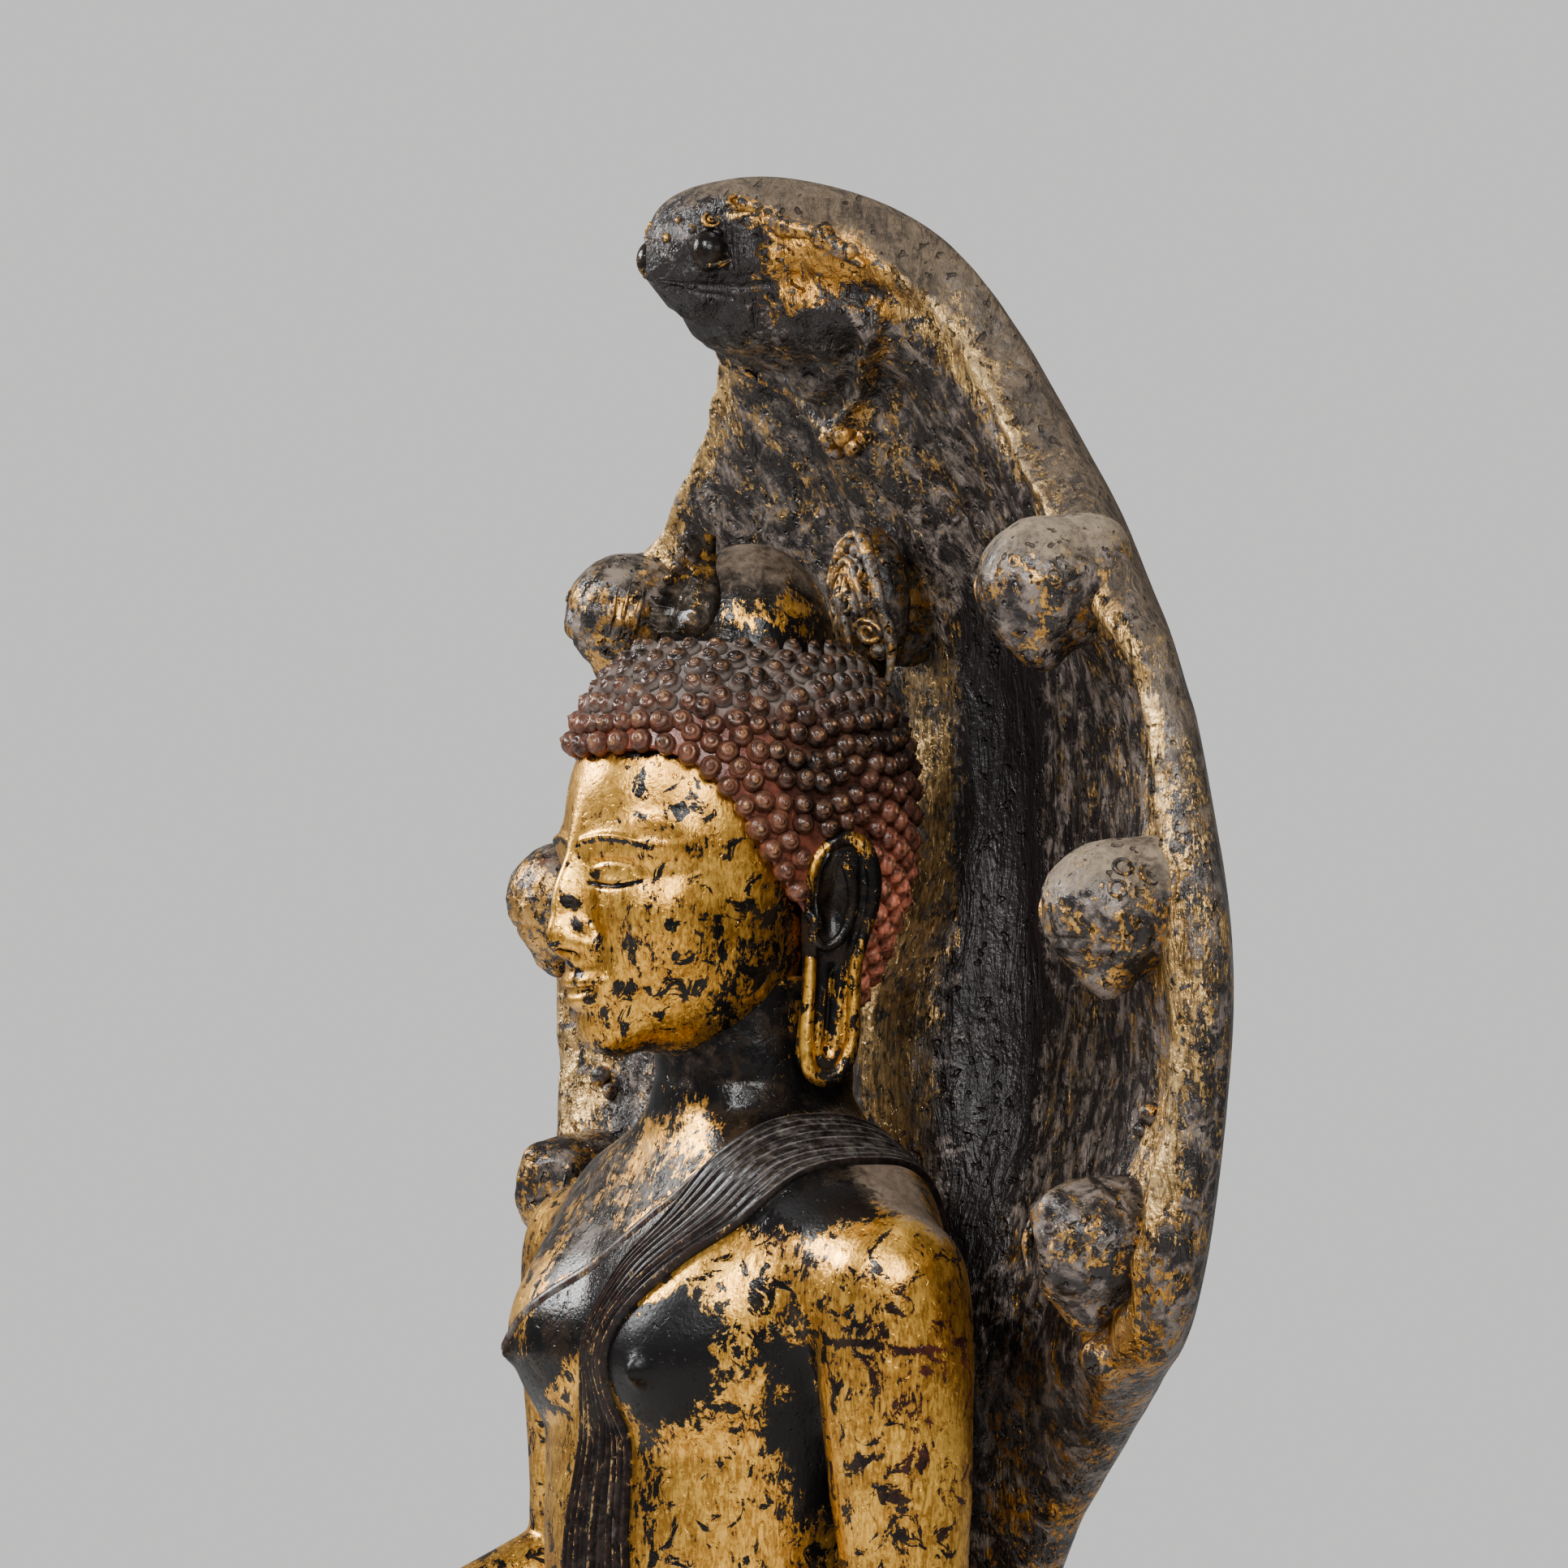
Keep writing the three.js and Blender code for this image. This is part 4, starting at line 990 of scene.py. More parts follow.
head = {
    # ellipsoids that melt together: [x, y, z, radius x, radius y, radius z, melt], in faces
    "forms": [
        [0, -0.06, 4.16, 0.425, 0.58, 0.5, 0], [0, -0.24, 3.93, 0.375, 0.38, 0.5, 0.12],
        [0, -0.28, 3.7, 0.3, 0.34, 0.36, 0.12], [0.17, -0.16, 3.66, 0.14, 0.2, 0.2, 0.12],
        [0, -0.53, 3.44, 0.12, 0.1, 0.1, 0.1], [0.185, -0.44, 3.8, 0.15, 0.155, 0.16, 0.12],
        [0, -0.585, 3.93, 0.045, 0.1, 0.16, 0.06], [0, -0.655, 3.82, 0.048, 0.09, 0.12, 0.05],
        [0, -0.672, 3.728, 0.064, 0.085, 0.064, 0.05], [0.062, -0.632, 3.712, 0.046, 0.07, 0.046, 0.03],
        [0.17, -0.51, 4.035, 0.17, 0.08, 0.06, 0.08], [0.165, -0.515, 3.925, 0.098, 0.075, 0.052, 0.02],
        [0, -0.58, 3.59, 0.14, 0.07, 0.09, 0.08], [0.04, -0.622, 3.582, 0.095, 0.055, 0.034, 0.02],
        [0, -0.618, 3.526, 0.098, 0.058, 0.04, 0.012]],
    "middle": (0, -0.08, 3.95), "columns": 270, "rows": 220, "crowding": 0.68, "rowCrowding": 0.22,
    # lines drawn into the face, across from the middle line: height, bend, its middle, from, to, width, depth
    "lines": [
        [3.898, 1.3, 0.165, 0.07, 0.27, 0.008, 0.014], [3.982, -1.6, 0.165, 0.06, 0.27, 0.011, 0.009],
        [4.06, -1.1, 0.16, 0.03, 0.3, 0.012, -0.012], [3.553, 0.9, 0.0, -0.1, 0.13, 0.007, 0.02]],
    # hollows: aside, height, half width, half height, depth, how far forward the face is there
    "hollows": [[0.0, 3.635, 0.013, 0.03, 0.012, -0.4], [0.04, 3.672, 0.02, 0.014, 0.03, -0.5]],
    "gilding": [
        [0.16, -0.55, 3.93, 0.07, 0.2, 0.035, 0.1], [0.085, -0.6, 3.88, 0.03, 0.2, 0.06, -0.2],
        [0.0, -0.62, 3.655, 0.13, 0.2, 0.025, -0.4], [0.17, -0.55, 3.56, 0.03, 0.2, 0.04, -0.35],
        [0.0, -0.6, 3.48, 0.12, 0.2, 0.015, -0.4], [0.33, -0.3, 3.46, 0.12, 0.3, 0.1, -0.14],
        [0.3, -0.4, 3.72, 0.14, 0.3, 0.16, -0.18], [0.0, -0.3, 3.3, 0.4, 0.35, 0.06, -0.8],
        [0.42, 0.02, 3.75, 0.1, 0.12, 0.5, -0.5], [0.1, -0.55, 4.28, 0.3, 0.2, 0.09, 0.12]],
    # the patch over the forehead deepens the gold there: painted shade that dims the highlight
    "warm": [[0.1, -0.5, 4.22, 0.5, 0.4, 0.2, 0.6]],
}


def headDistance(p):
    value = None
    for x, y, z, rx, ry, rz, melt in head["forms"]:
        offset = together((np.abs(p[..., 0]) - x) / rx, (p[..., 1] - y) / ry, (p[..., 2] - z) / rz)
        d = (np.linalg.norm(offset, axis=-1) - 1) * min(rx, ry, rz)
        if value is None:
            value = d
        else:
            near = np.maximum(melt - np.abs(value - d), 0) / melt
            value = np.minimum(value, d) - near * near * melt / 4
    return value


def drawnLine(spot, height, bend, middle, start, end, width, depth):
    # how strongly a line bent like a parabola is felt at each point of the face
    u = np.abs(spot[..., 0])
    ends = step(start, start + 0.03, u) * step(end, end - 0.03, u)
    line = height + bend * (u - middle) ** 2
    return depth * ends * bell(spot[..., 2] - line, width) * step(-0.25, -0.35, spot[..., 1])


def buildHead():
    # the surface is met along rays from the middle of the head, closer together over the face
    t = np.arange(1, head["rows"]) / head["rows"]
    polar = np.pi * t + head["rowCrowding"] * np.sin(2 * np.pi * t)
    turn = turns(head["columns"])
    around = turn - head["crowding"] * np.sin(turn) - np.pi / 2
    polar, around = np.meshgrid(polar, around, indexing="ij")
    rays = np.stack([np.sin(polar) * np.cos(around), np.sin(polar) * np.sin(around), -np.cos(polar)], -1)
    inside, outside = np.full(polar.shape, 0.1), np.full(polar.shape, 1.1)
    for _ in range(20):  # halves the stretch in which the surface lies
        half = (inside + outside) / 2
        within = headDistance(head["middle"] + rays * half[..., None]) < 0
        inside, outside = np.where(within, half, inside), np.where(within, outside, half)
    spot = head["middle"] + rays * inside[..., None]
    sink = sum(drawnLine(spot, *line) for line in head["lines"])
    for aside, height, width, tall, depth, forward in head["hollows"]:
        near = np.hypot((np.abs(spot[..., 0]) - aside) / width, (spot[..., 2] - height) / tall)
        sink = sink + depth * bell(near, 1) * (spot[..., 1] < forward)
    piece = pieceFrom("head", skinOf(placed(spot - rays * sink[..., None])))
    swell(piece, 0.0004 * lumps(pointsOf(piece), 0.02, 2))
    spot = inFaces(pointsOf(piece))
    x, y, z = oneSided(spot).T
    face = step(0.1, -0.15, y)
    browCurve, lidCurve = 1.1 * (x - 0.16) ** 2, 1.3 * (x - 0.165) ** 2
    socket = bell(z - 4.0 + browCurve, 0.03) * step(0.34, 0.24, x) * step(0.02, 0.06, x)
    brow = step(0.014, 0.004, np.abs(z - 4.05 + browCurve)) * step(0.34, 0.28, x) * step(0.02, 0.06, x)
    lid = step(0.008, 0.0, np.abs(z - 3.898 - lidCurve) - 0.004) * step(0.05, 0.08, x) * step(0.29, 0.26, x)
    underHair = step(0.05, 0.0, np.interp(np.arctan2(x, -y), hairTurns, hairHeights) - z)
    gilding = 0.97 - 0.15 * step(4.0, 3.65, z) - 0.14 * step(0.12, 0.32, x) - 0.8 * underHair
    gilding -= (0.25 * socket + 0.75 * brow + 0.8 * lid) * face
    withMasks(piece, gilding=gilding + patches(oneSided(spot), head["gilding"]), dust=0.1,
              warm=patches(spot, head["warm"]))
    return piece


ear = {
    "rows": [  # height, middle fore and aft, half width, how far out, in faces
        [3.27, 0.02, 0.012, 0.425], [3.29, 0.02, 0.055, 0.43], [3.34, 0.025, 0.082, 0.435],
        [3.45, 0.035, 0.084, 0.44], [3.58, 0.045, 0.08, 0.44], [3.66, 0.05, 0.086, 0.442],
        [3.75, 0.06, 0.1, 0.45], [3.86, 0.07, 0.112, 0.458], [3.95, 0.075, 0.104, 0.462],
        [4.02, 0.08, 0.075, 0.46], [4.05, 0.085, 0.02, 0.455]],
    "thickness": 0.032, "flare": 0.28, "rings": 120, "columns": 84,
    # cords on the outer side: fore and aft, height, radius
    "cords": [
        [[-0.04, 3.83, 0.011], [-0.035, 3.9, 0.02], [-0.02, 3.97, 0.025], [0.03, 4.03, 0.028],
         [0.09, 4.055, 0.029], [0.145, 4.02, 0.029], [0.172, 3.93, 0.028], [0.168, 3.83, 0.025],
         [0.145, 3.74, 0.022], [0.118, 3.63, 0.024], [0.112, 3.5, 0.025], [0.105, 3.38, 0.027],
         [0.07, 3.29, 0.031], [0.02, 3.272, 0.034], [-0.025, 3.3, 0.028], [-0.04, 3.4, 0.025],
         [-0.03, 3.55, 0.021], [-0.025, 3.66, 0.02]],
        [[0.05, 3.99, 0.008], [0.085, 3.96, 0.018], [0.108, 3.88, 0.021], [0.1, 3.8, 0.021],
         [0.07, 3.73, 0.02], [0.02, 3.7, 0.017], [-0.02, 3.73, 0.018]],
        [[-0.035, 3.81, 0.017], [-0.015, 3.785, 0.025], [-0.02, 3.755, 0.02]]],
}


def earSkin():
    # a flat loop carried up the ear; it has a rolled rim, a deep shell, an inner ridge and a slit in the lobe
    z = np.linspace(ear["rows"][0][0], ear["rows"][-1][0], ear["rings"])[:, None]
    middle, halfWidth, out = columnsAt(ear["rows"], z)
    angle = turns(ear["columns"])
    side = np.sin(angle)
    u = power(np.cos(angle), 0.8)
    rim = 0.022 * bell(np.abs(u) - 0.8, 0.14)
    top = 0.022 * bell(z - 3.995, 0.03) * step(1.0, 0.7, np.abs(u))
    shell = -0.035 * bell(np.hypot((u + 0.15) / 0.42, (z - 3.82) / 0.1), 1)
    inner = 0.014 * bell(u - 0.3 - 0.9 * (z - 3.85) ** 2, 0.12) * step(3.66, 3.72, z) * step(3.98, 3.93, z)
    flap = 0.02 * bell(np.hypot((u + 0.75) / 0.22, (z - 3.79) / 0.045), 1)
    slit = -0.04 * bell(u - 0.05, 0.14) * step(3.33, 3.38, z) * step(3.66, 3.6, z)
    relief = rim + slit + (top + shell + inner + flap) * step(3.66, 3.74, z)
    x = out + ear["thickness"] * power(side, 0.7) + relief * np.clip(side, 0, 1) ** 0.5
    return skinOf(placed(together(x + ear["flare"] * halfWidth * u - 0.01, middle + halfWidth * u, z)))


def buildEars():
    near = [earSkin()]
    for cord in ear["cords"]:
        y, z, radius = np.array(cord).T
        middle, _, out = columnsAt(ear["rows"], z)
        x = out + ear["thickness"] + ear["flare"] * (y - middle) - 0.012
        near.append(limbInFaces(together(x, y, z), radius, 12, 80, 1, (1, 0, 0)))
    piece = pieceFrom("ears", *onBothSides(near))
    spot = inFaces(pointsOf(piece))
    onCord = np.tile(np.arange(len(spot) // 2) >= len(near[0][0]), 2)
    lobe = step(3.7, 3.55, spot[:, 2]) * step(3.32, 3.38, spot[:, 2])
    withMasks(
        piece, gilding=0.12 + (0.2 + 0.35 * step(0.04, -0.02, spot[:, 1])) * onCord + 0.42 * lobe, dust=0.12,
        soot=patches(oneSided(spot), [[0.5, 0.035, 3.5, 0.08, 0.025, 0.16, 1.2]]))
    return piece


buddhaHead, hairCurls, hairKnot = buildHead(), buildHair(), buildKnot()
knotLeaf, ears = buildLeaf(), buildEars()

curlColours = {
    "lacquer": (0.012, 0.01, 0.0095), "brown": (0.095, 0.052, 0.034), "redBrown": (0.1, 0.045, 0.027),
    "between": (0.17, 0.04, 0.024), "worn": (0.8, 0.3, 0.19), "rubbed": (0.42, 0.235, 0.125),
    "dust": (0.2, 0.165, 0.145), "cloud": 60.0, "grain": 420.0, "pits": 0.3, "streaks": 0.1,
}


def curlFinish():
    # dark lacquer over red, each curl with a shallow coil turned into it
    material, tree, shader = newMaterial("lacquered curls")
    where = objectPlace(tree)
    x, y, nearLine, crest = (maskNamed(tree, name) for name in ("curlX", "curlY", "gilding", "crest"))
    reach = mathOf("SQRT", plus(times(x, x), times(y, y)))
    coil = mathOf("SINE", plus(mathOf("ARCTAN2", y, x), times(reach, 15.0)))
    onCurl = rangeOf(reach, 1.3, 1.0)
    cloudy = rangeOf(noiseOf(where, 70, 5, 0.65), 0.4, 0.66)
    base = mixOf(cloudy, curlColours["lacquer"], curlColours["brown"])
    brown = rangeOf(noiseOf(where, 38, 4, 0.7), 0.4, 0.62, 0.15, 0.8)
    base = mixOf(times(nearLine, brown), base, curlColours["redBrown"])
    low = times(rangeOf(crest, 0.3, -0.05), plus(times(nearLine, 0.55), 0.15))
    base = mixOf(low, base, curlColours["between"])
    broken = rangeOf(noiseOf(where, 120, 4, 0.7), 0.32, 0.62)
    # the worn red is pale so that it stays bright where the lower back lies in shade: real red bole, raised
    # as painted light
    worn = mathOf("MULTIPLY", maskNamed(tree, "bole"), broken, clamp=True)
    base = mixOf(worn, base, curlColours["worn"])
    # the tops of the curls turn a paler gold-brown and partly metallic: rubbed gold, with a painted highlight
    rubbed = times(rangeOf(crest, 0.7, 1.1), rangeOf(noiseOf(where, 160, 3), 0.45, 0.7))
    base = mixOf(rubbed, base, curlColours["rubbed"])
    amount = times(plus(maskNamed(tree, "dust"), 0.08), rangeOf(crest, 0.1, 0.95, 2.1, 0.5))
    dust = placedGroup(tree, dustFall, curlColours, Amount=amount)["Mask"]
    pit = placedGroup(tree, pitting, curlColours)["Height"]
    feedShader(shader, plus(pit, times(times(coil, onCurl), 0.26)), 0.0012, 0.8, **{
        "Base Color": mixOf(dust, base, curlColours["dust"]), "Metallic": times(rubbed, 0.5),
        "Roughness": plus(0.27, times(dust, 0.5), times(worn, 0.2))})
    return material


print("head made")

# Hood.

hood = {
    "spine": 0.19308, "height": 1.25, "reach": 0.262, "halfWidth": 0.42, "thickness": 0.066, "curl": 0.105,
    "trunk": 0.026, "frontColumns": 151, "backColumns": 53,
    "bend": 0.65,  # how much closer the columns lie at the rim
    "rowCounts": [[0, 5, 40], [5, 13, 190], [13, 20, 150]],  # from row, to row of the table, how many
    # heights of the relief: under the small heads, along the rim, streaks, and the crust inside the rim
    "headSwell": 0.016, "rimBead": 0.0055, "streaks": [0.0018, 0.0013], "crust": 0.0016,
    # rise, lean, half width, thickness, forward curl, squareness, raised edge, as shares of the sizes
    "rows": [
        [0, 0.13, 0.29, 1.36, 0, 3, 0], [0.06, 0.14, 0.275, 1.36, 0, 3, 0],
        [0.14, 0.178, 0.275, 1.29, 0, 3, 0],
        [0.22, 0.207, 0.298, 1.21, 0, 3.2, 0], [0.284, 0.192, 0.406, 1.08, 0.063, 3.8, 0],
        [0.335, 0.143, 0.598, 1.02, 0.31, 4.4, 0], [0.376, 0.119, 0.813, 1.1, 0.677, 5.5, 0],
        [0.417, 0.102, 0.948, 1.04, 0.834, 6.5, 0], [0.515, 0.0155, 1, 0.92, 0.985, 7, 0],
        [0.6, -0.002, 1, 0.885, 1, 7, 0], [0.701, 0, 0.912, 0.79, 0.967, 7, 0],
        [0.742, 0.0225, 0.865, 0.74, 0.928, 7, 0], [0.783, 0.049, 0.785, 0.84, 0.884, 6.4, 0.05],
        [0.823, 0.108, 0.692, 1.02, 0.765, 5.6, 0.12], [0.869, 0.204, 0.55, 1.1, 0.533, 5, 0.2],
        [0.911, 0.338, 0.425, 1.14, 0.255, 4.4, 0.33], [0.938, 0.49, 0.33, 1.34, 0.05, 4, 0.45],
        [0.9495, 0.63, 0.252, 1.62, 0, 3.8, 0.5], [0.9555, 0.765, 0.17, 1.7, 0, 3.6, 0.5],
        [0.954, 0.875, 0.112, 1.5, 0, 3.2, 0.44], [0.949, 0.955, 0.072, 1, 0, 2.8, 0.3]],
    "tip": [1.045, 0.9435],  # lean, rise
    "trunkRows": [  # rise, swelling, half width
        [0.2, 0, 0.34], [0.284, 0.35, 0.36], [0.335, 0.6, 0.37], [0.376, 0.75, 0.35], [0.417, 1.05, 0.28],
        [0.46, 1.6, 0.23], [0.515, 2.2, 0.19], [0.56, 2.2, 0.18], [0.6, 1.55, 0.17], [0.65, 1.1, 0.17],
        [0.742, 1, 0.17], [0.823, 0.8, 0.16], [0.88, 0.3, 0.14], [0.92, 0, 0.12]],
    # share of half width, share of height, how far before the hood's face, radius, how broken
    "sideHeads": [[0.657, 0.7766, 0.88, 0.043, 0], [0.8536, 0.6134, 0.88, 0.043, 0],
                  [0.8119, 0.4462, 0.69, 0.042, 1]],
}


def hoodGrid(row, across, front):
    # the hood's face or back at row numbers of its table and shares of its half width, from -1 to 1
    rise, _, width, thick, curl, square, raised = np.moveaxis(curveThrough(hood["rows"], row), -1, 0)
    swelling, spread = columnsAt(hood["trunkRows"], rise)
    last = len(hood["rows"]) - 1

    def spineAt(r):
        values = curveThrough(hood["rows"], r)
        return together(0, hood["spine"] - values[..., 1] * hood["reach"], values[..., 0] * hood["height"])

    ahead = unit(spineAt(np.minimum(row + 0.25, last)) - spineAt(np.maximum(row - 0.25, 0)))
    x = width * hood["halfWidth"] * across
    edge = np.clip(1 - np.abs(across) ** square, 0, 1)
    half = thick * hood["thickness"] / 2
    forward = curl * hood["curl"] * np.abs(across) ** 1.8
    ridge = swelling * hood["trunk"] * np.exp(-((np.abs(x) / (spread * hood["halfWidth"])) ** 4)) * edge
    face, back = -half * (1 + raised) * edge ** (1 / 2.9) - ridge, half * (1 - raised) * edge ** (1 / 2.1)
    depth = np.where(front, face, back) + raised * half - forward
    points = spineAt(row) + np.cross(ahead, (1.0, 0, 0)) * depth[..., None]
    points[..., 0] = x
    return points + seatPlace


def hoodFrontY(rise, x):
    rows = np.array(hood["rows"])
    row = np.interp(rise, rows[:, 0], np.arange(len(rows)))
    width = curveThrough(rows, row)[..., 2] * hood["halfWidth"]
    return hoodGrid(row, x / width, True)[..., 1]


# lines on the great head, from the axis and the floor: the ledge over its eye and the edge of its throat
ledgeLine = [(0.053, -0.033, 1.572), (0.0804, 0.0026, 1.553), (0.1046, 0.0285, 1.537), (0.125, 0.049, 1.516)]
throatLine = [(0.114, 0.038, 1.506), (0.092, 0.04, 1.488), (0.06, 0.055, 1.468), (0.03, 0.066, 1.448),
              (0.0, 0.07, 1.43)]

carving = {
    # a path, how wide its line is and how far it rises, or is pressed in where that is negative
    "lines": [
        [[(0, -0.083, 1.537), (0.018, -0.072, 1.53), (0.0325, -0.054, 1.528), (0.044, -0.036, 1.529)],
         0.0035, 0.0022],
        [[(0, -0.082, 1.508), (0.02, -0.068, 1.505), (0.035, -0.048, 1.505)], 0.004, 0.0016],
        [[(0, 0.08, 1.5), (0, 0.085, 1.45), (0, 0.09, 1.42)], 0.045, 0.022],
        [ledgeLine, 0.0075, 0.007], [throatLine, 0.0065, 0.009],
        [[(0.1, 0.02, 1.5), (0.07, 0.02, 1.478), (0.04, 0.04, 1.466), (0.0, 0.05, 1.46)], 0.012, 0.004],
        [[(0.17, 0.07, 1.46), (0.2, 0.078, 1.42), (0.24, 0.078, 1.375)], 0.006, 0.003],
        [[(0, -0.083, 1.524), (0.02, -0.072, 1.518), (0.0325, -0.052, 1.518), (0.046, -0.034, 1.517),
          (0.056, -0.02, 1.52)], 0.0022, -0.0026],
        [[(0.018, -0.072, 1.513), (0.031, -0.052, 1.512), (0.042, -0.038, 1.509)], 0.0018, -0.0014],
        [[(0.05, -0.035, 1.556), (0.054, -0.03, 1.545), (0.058, -0.024, 1.54)], 0.004, -0.003],
        [[(0.07, -0.004, 1.523), (0.09, 0.012, 1.515), (0.11, 0.035, 1.508)], 0.012, -0.007],
        [[(0.05, -0.012, 1.5), (0.075, 0.022, 1.49)], 0.012, -0.004],
        [[(0.0, 0.08, 1.385), (0.0, 0.09, 1.375)], 0.02, -0.009],
        [[(0.35, 0.07, 0.9), (0.37, 0.06, 0.872)], 0.012, -0.006]],
    # cords laid on the surface: path, radius at each end and in the middle
    "cords": [
        [[(0.047, -0.04, 1.573), (0.053, -0.033, 1.57), (0.059, -0.027, 1.566)], [0.003, 0.0055, 0.004]],
        [[(0.062, -0.022, 1.562), (0.07, -0.012, 1.556), (0.0804, 0.0026, 1.55), (0.0934, 0.017, 1.543),
          (0.1046, 0.0285, 1.534)], [0.004, 0.0066, 0.005, 0.0064, 0.003]],
        [[(0.106, 0.036, 1.5), (0.08, 0.044, 1.477), (0.05, 0.06, 1.458)], [0.001, 0.0026, 0.001]],
        [[(0.033, -0.05, 1.531), (0.0375, -0.045, 1.5325), (0.044, -0.038, 1.536)], [0.001, 0.002, 0.001]]],
    # beads half sunk in the surface: place, radius
    "beads": [
        [(0.0855, 0.0065, 1.547), 0.0085], [(0.0985, 0.022, 1.539), 0.0065], [(0.068, -0.014, 1.557), 0.0075],
        [(0.012, -0.076, 1.553), 0.0032], [(0.02, -0.07, 1.565), 0.0024], [(0.03, -0.061, 1.556), 0.003],
        [(0.3356, 0.07, 0.8327), 0.0155], [(0.325, 0.078, 0.845), 0.009], [(0.012, 0.072, 1.418), 0.0075],
        [(0.026, 0.071, 1.424), 0.006], [(0.006, 0.07, 1.43), 0.008], [(0.36, 0.08, 0.985), 0.008],
        [(0.35, 0.085, 0.973), 0.006]],
    # rings: place, the way they face, radius, cord
    "rings": [
        [(0.0402, -0.0526, 1.5619), (0.8, -0.3, 0.5), 0.0052, 0.0013],
        [(0.0402, -0.0526, 1.5619), (0.8, -0.3, 0.5), 0.0016, 0.0014],
        [(0.0495, -0.039, 1.573), (0.75, -0.2, 0.6), 0.0055, 0.002]],
    "gilding": [  # from the axis and the floor
        [0.37, 0.07, 0.97, 0.035, 0.05, 0.035, 0.42], [0.33, 0.08, 0.84, 0.05, 0.05, 0.05, 0.2],
        [0.14, 0.06, 1.47, 0.035, 0.05, 0.03, 0.3], [0.02, 0.07, 1.42, 0.03, 0.04, 0.02, 0.4],
        # the patch at 0.075 takes gold from the cheek under the great head's ledge: painted shadow
        [0.15, 0.1, 0.77, 0.09, 0.1, 0.2, 0.3], [0.075, 0.01, 1.49, 0.035, 0.03, 0.018, -0.5],
        [0.02, 0.14, 1.26, 0.04, 0.04, 0.05, 0.4]],
    "soot": [
        # the first two patches darken the cheek under the great head's ledge: painted shadow
        [0.075, 0.01, 1.49, 0.03, 0.03, 0.014, 0.9], [0.1, 0.02, 1.513, 0.03, 0.03, 0.01, 0.7],
        [0.22, 0.1, 1.2, 0.05, 0.1, 0.12, 0.5], [0.03, 0.08, 1.39, 0.02, 0.03, 0.014, 0.8],
        # the patch at 0.13 darkens the lower trunk: painted shade where the shawl and shoulder shade it
        [0.13, 0.14, 0.75, 0.06, 0.1, 0.25, 0.15], [0.3, 0.08, 0.88, 0.03, 0.05, 0.05, 0.5]],
}


def pathReach(points, path):
    # distance from each point to a line of straight pieces, the same on both sides of the middle
    places = oneSided(points)
    nearest = np.full(points.shape[:-1], 9.0)
    for start, end in zip(path[:-1], path[1:]):
        run = end - start
        share = np.clip(((places - start) @ run) / (run @ run), 0, 1)
        nearest = np.minimum(nearest, np.linalg.norm(places - start - share[..., None] * run, axis=-1))
    return nearest


def carveHood(piece, rowOf, acrossOf, frontOf):
    # the rim's bead, swellings under the small heads, a worn streaky relief, and the lines on the great head
    spot, normal = pointsOf(piece), normalsOf(piece)
    x, _, z = oneSided(spot).T
    heads = np.zeros(len(spot))
    for sideShare, rise, *_ in hood["sideHeads"]:
        sx, sz = sideShare * hood["halfWidth"], rise * hood["height"] + layout["seat"]
        heads = np.maximum(heads, bell(np.hypot((x - sx) / 0.05, (z - sz + 0.012) / 0.06), 1))
    onRim = step(4.5, 6.5, rowOf) * step(19.4, 18.4, rowOf)
    beadAt = np.interp(rowOf, [7, 15, 17.5], [0.955, 0.96, 0.985])
    rim = bell(acrossOf - beadAt, 0.022) * onRim * (frontOf | (acrossOf > 0.97))
    crust = bell(acrossOf - 0.93, 0.07) * onRim * frontOf
    streaked = spot * (1, 1, 0.3)
    face = frontOf * step(1.0, 0.85, acrossOf) * step(5, 7, rowOf)
    broad, fine = hood["streaks"]
    push = hood["headSwell"] * heads * frontOf + hood["rimBead"] * rim * (1 + 0.35 * lumps(spot, 0.02, 8))
    push += broad * lumps(streaked, 0.02, 1) * (0.25 + face)
    push += fine * lumps(streaked, 0.0095, 2) * (0.15 + face)
    push += hood["crust"] * crust * lumps(spot, 0.011, 3)
    for path, width, rise in carving["lines"]:
        push += rise * bell(pathReach(spot, laidOn(path + axis, piece)), width) * frontOf
    push *= step(0.97, 0.75, normal[:, 2])  # the very top stays where the frame has it
    spot = spot + normal * push[:, None]
    spot[:, 2] = np.maximum(spot[:, 2], layout["seat"]) - 0.0013 * step(1.57, 1.594, spot[:, 2])
    movePoints(piece, spot)
    return heads, rim, crust, face


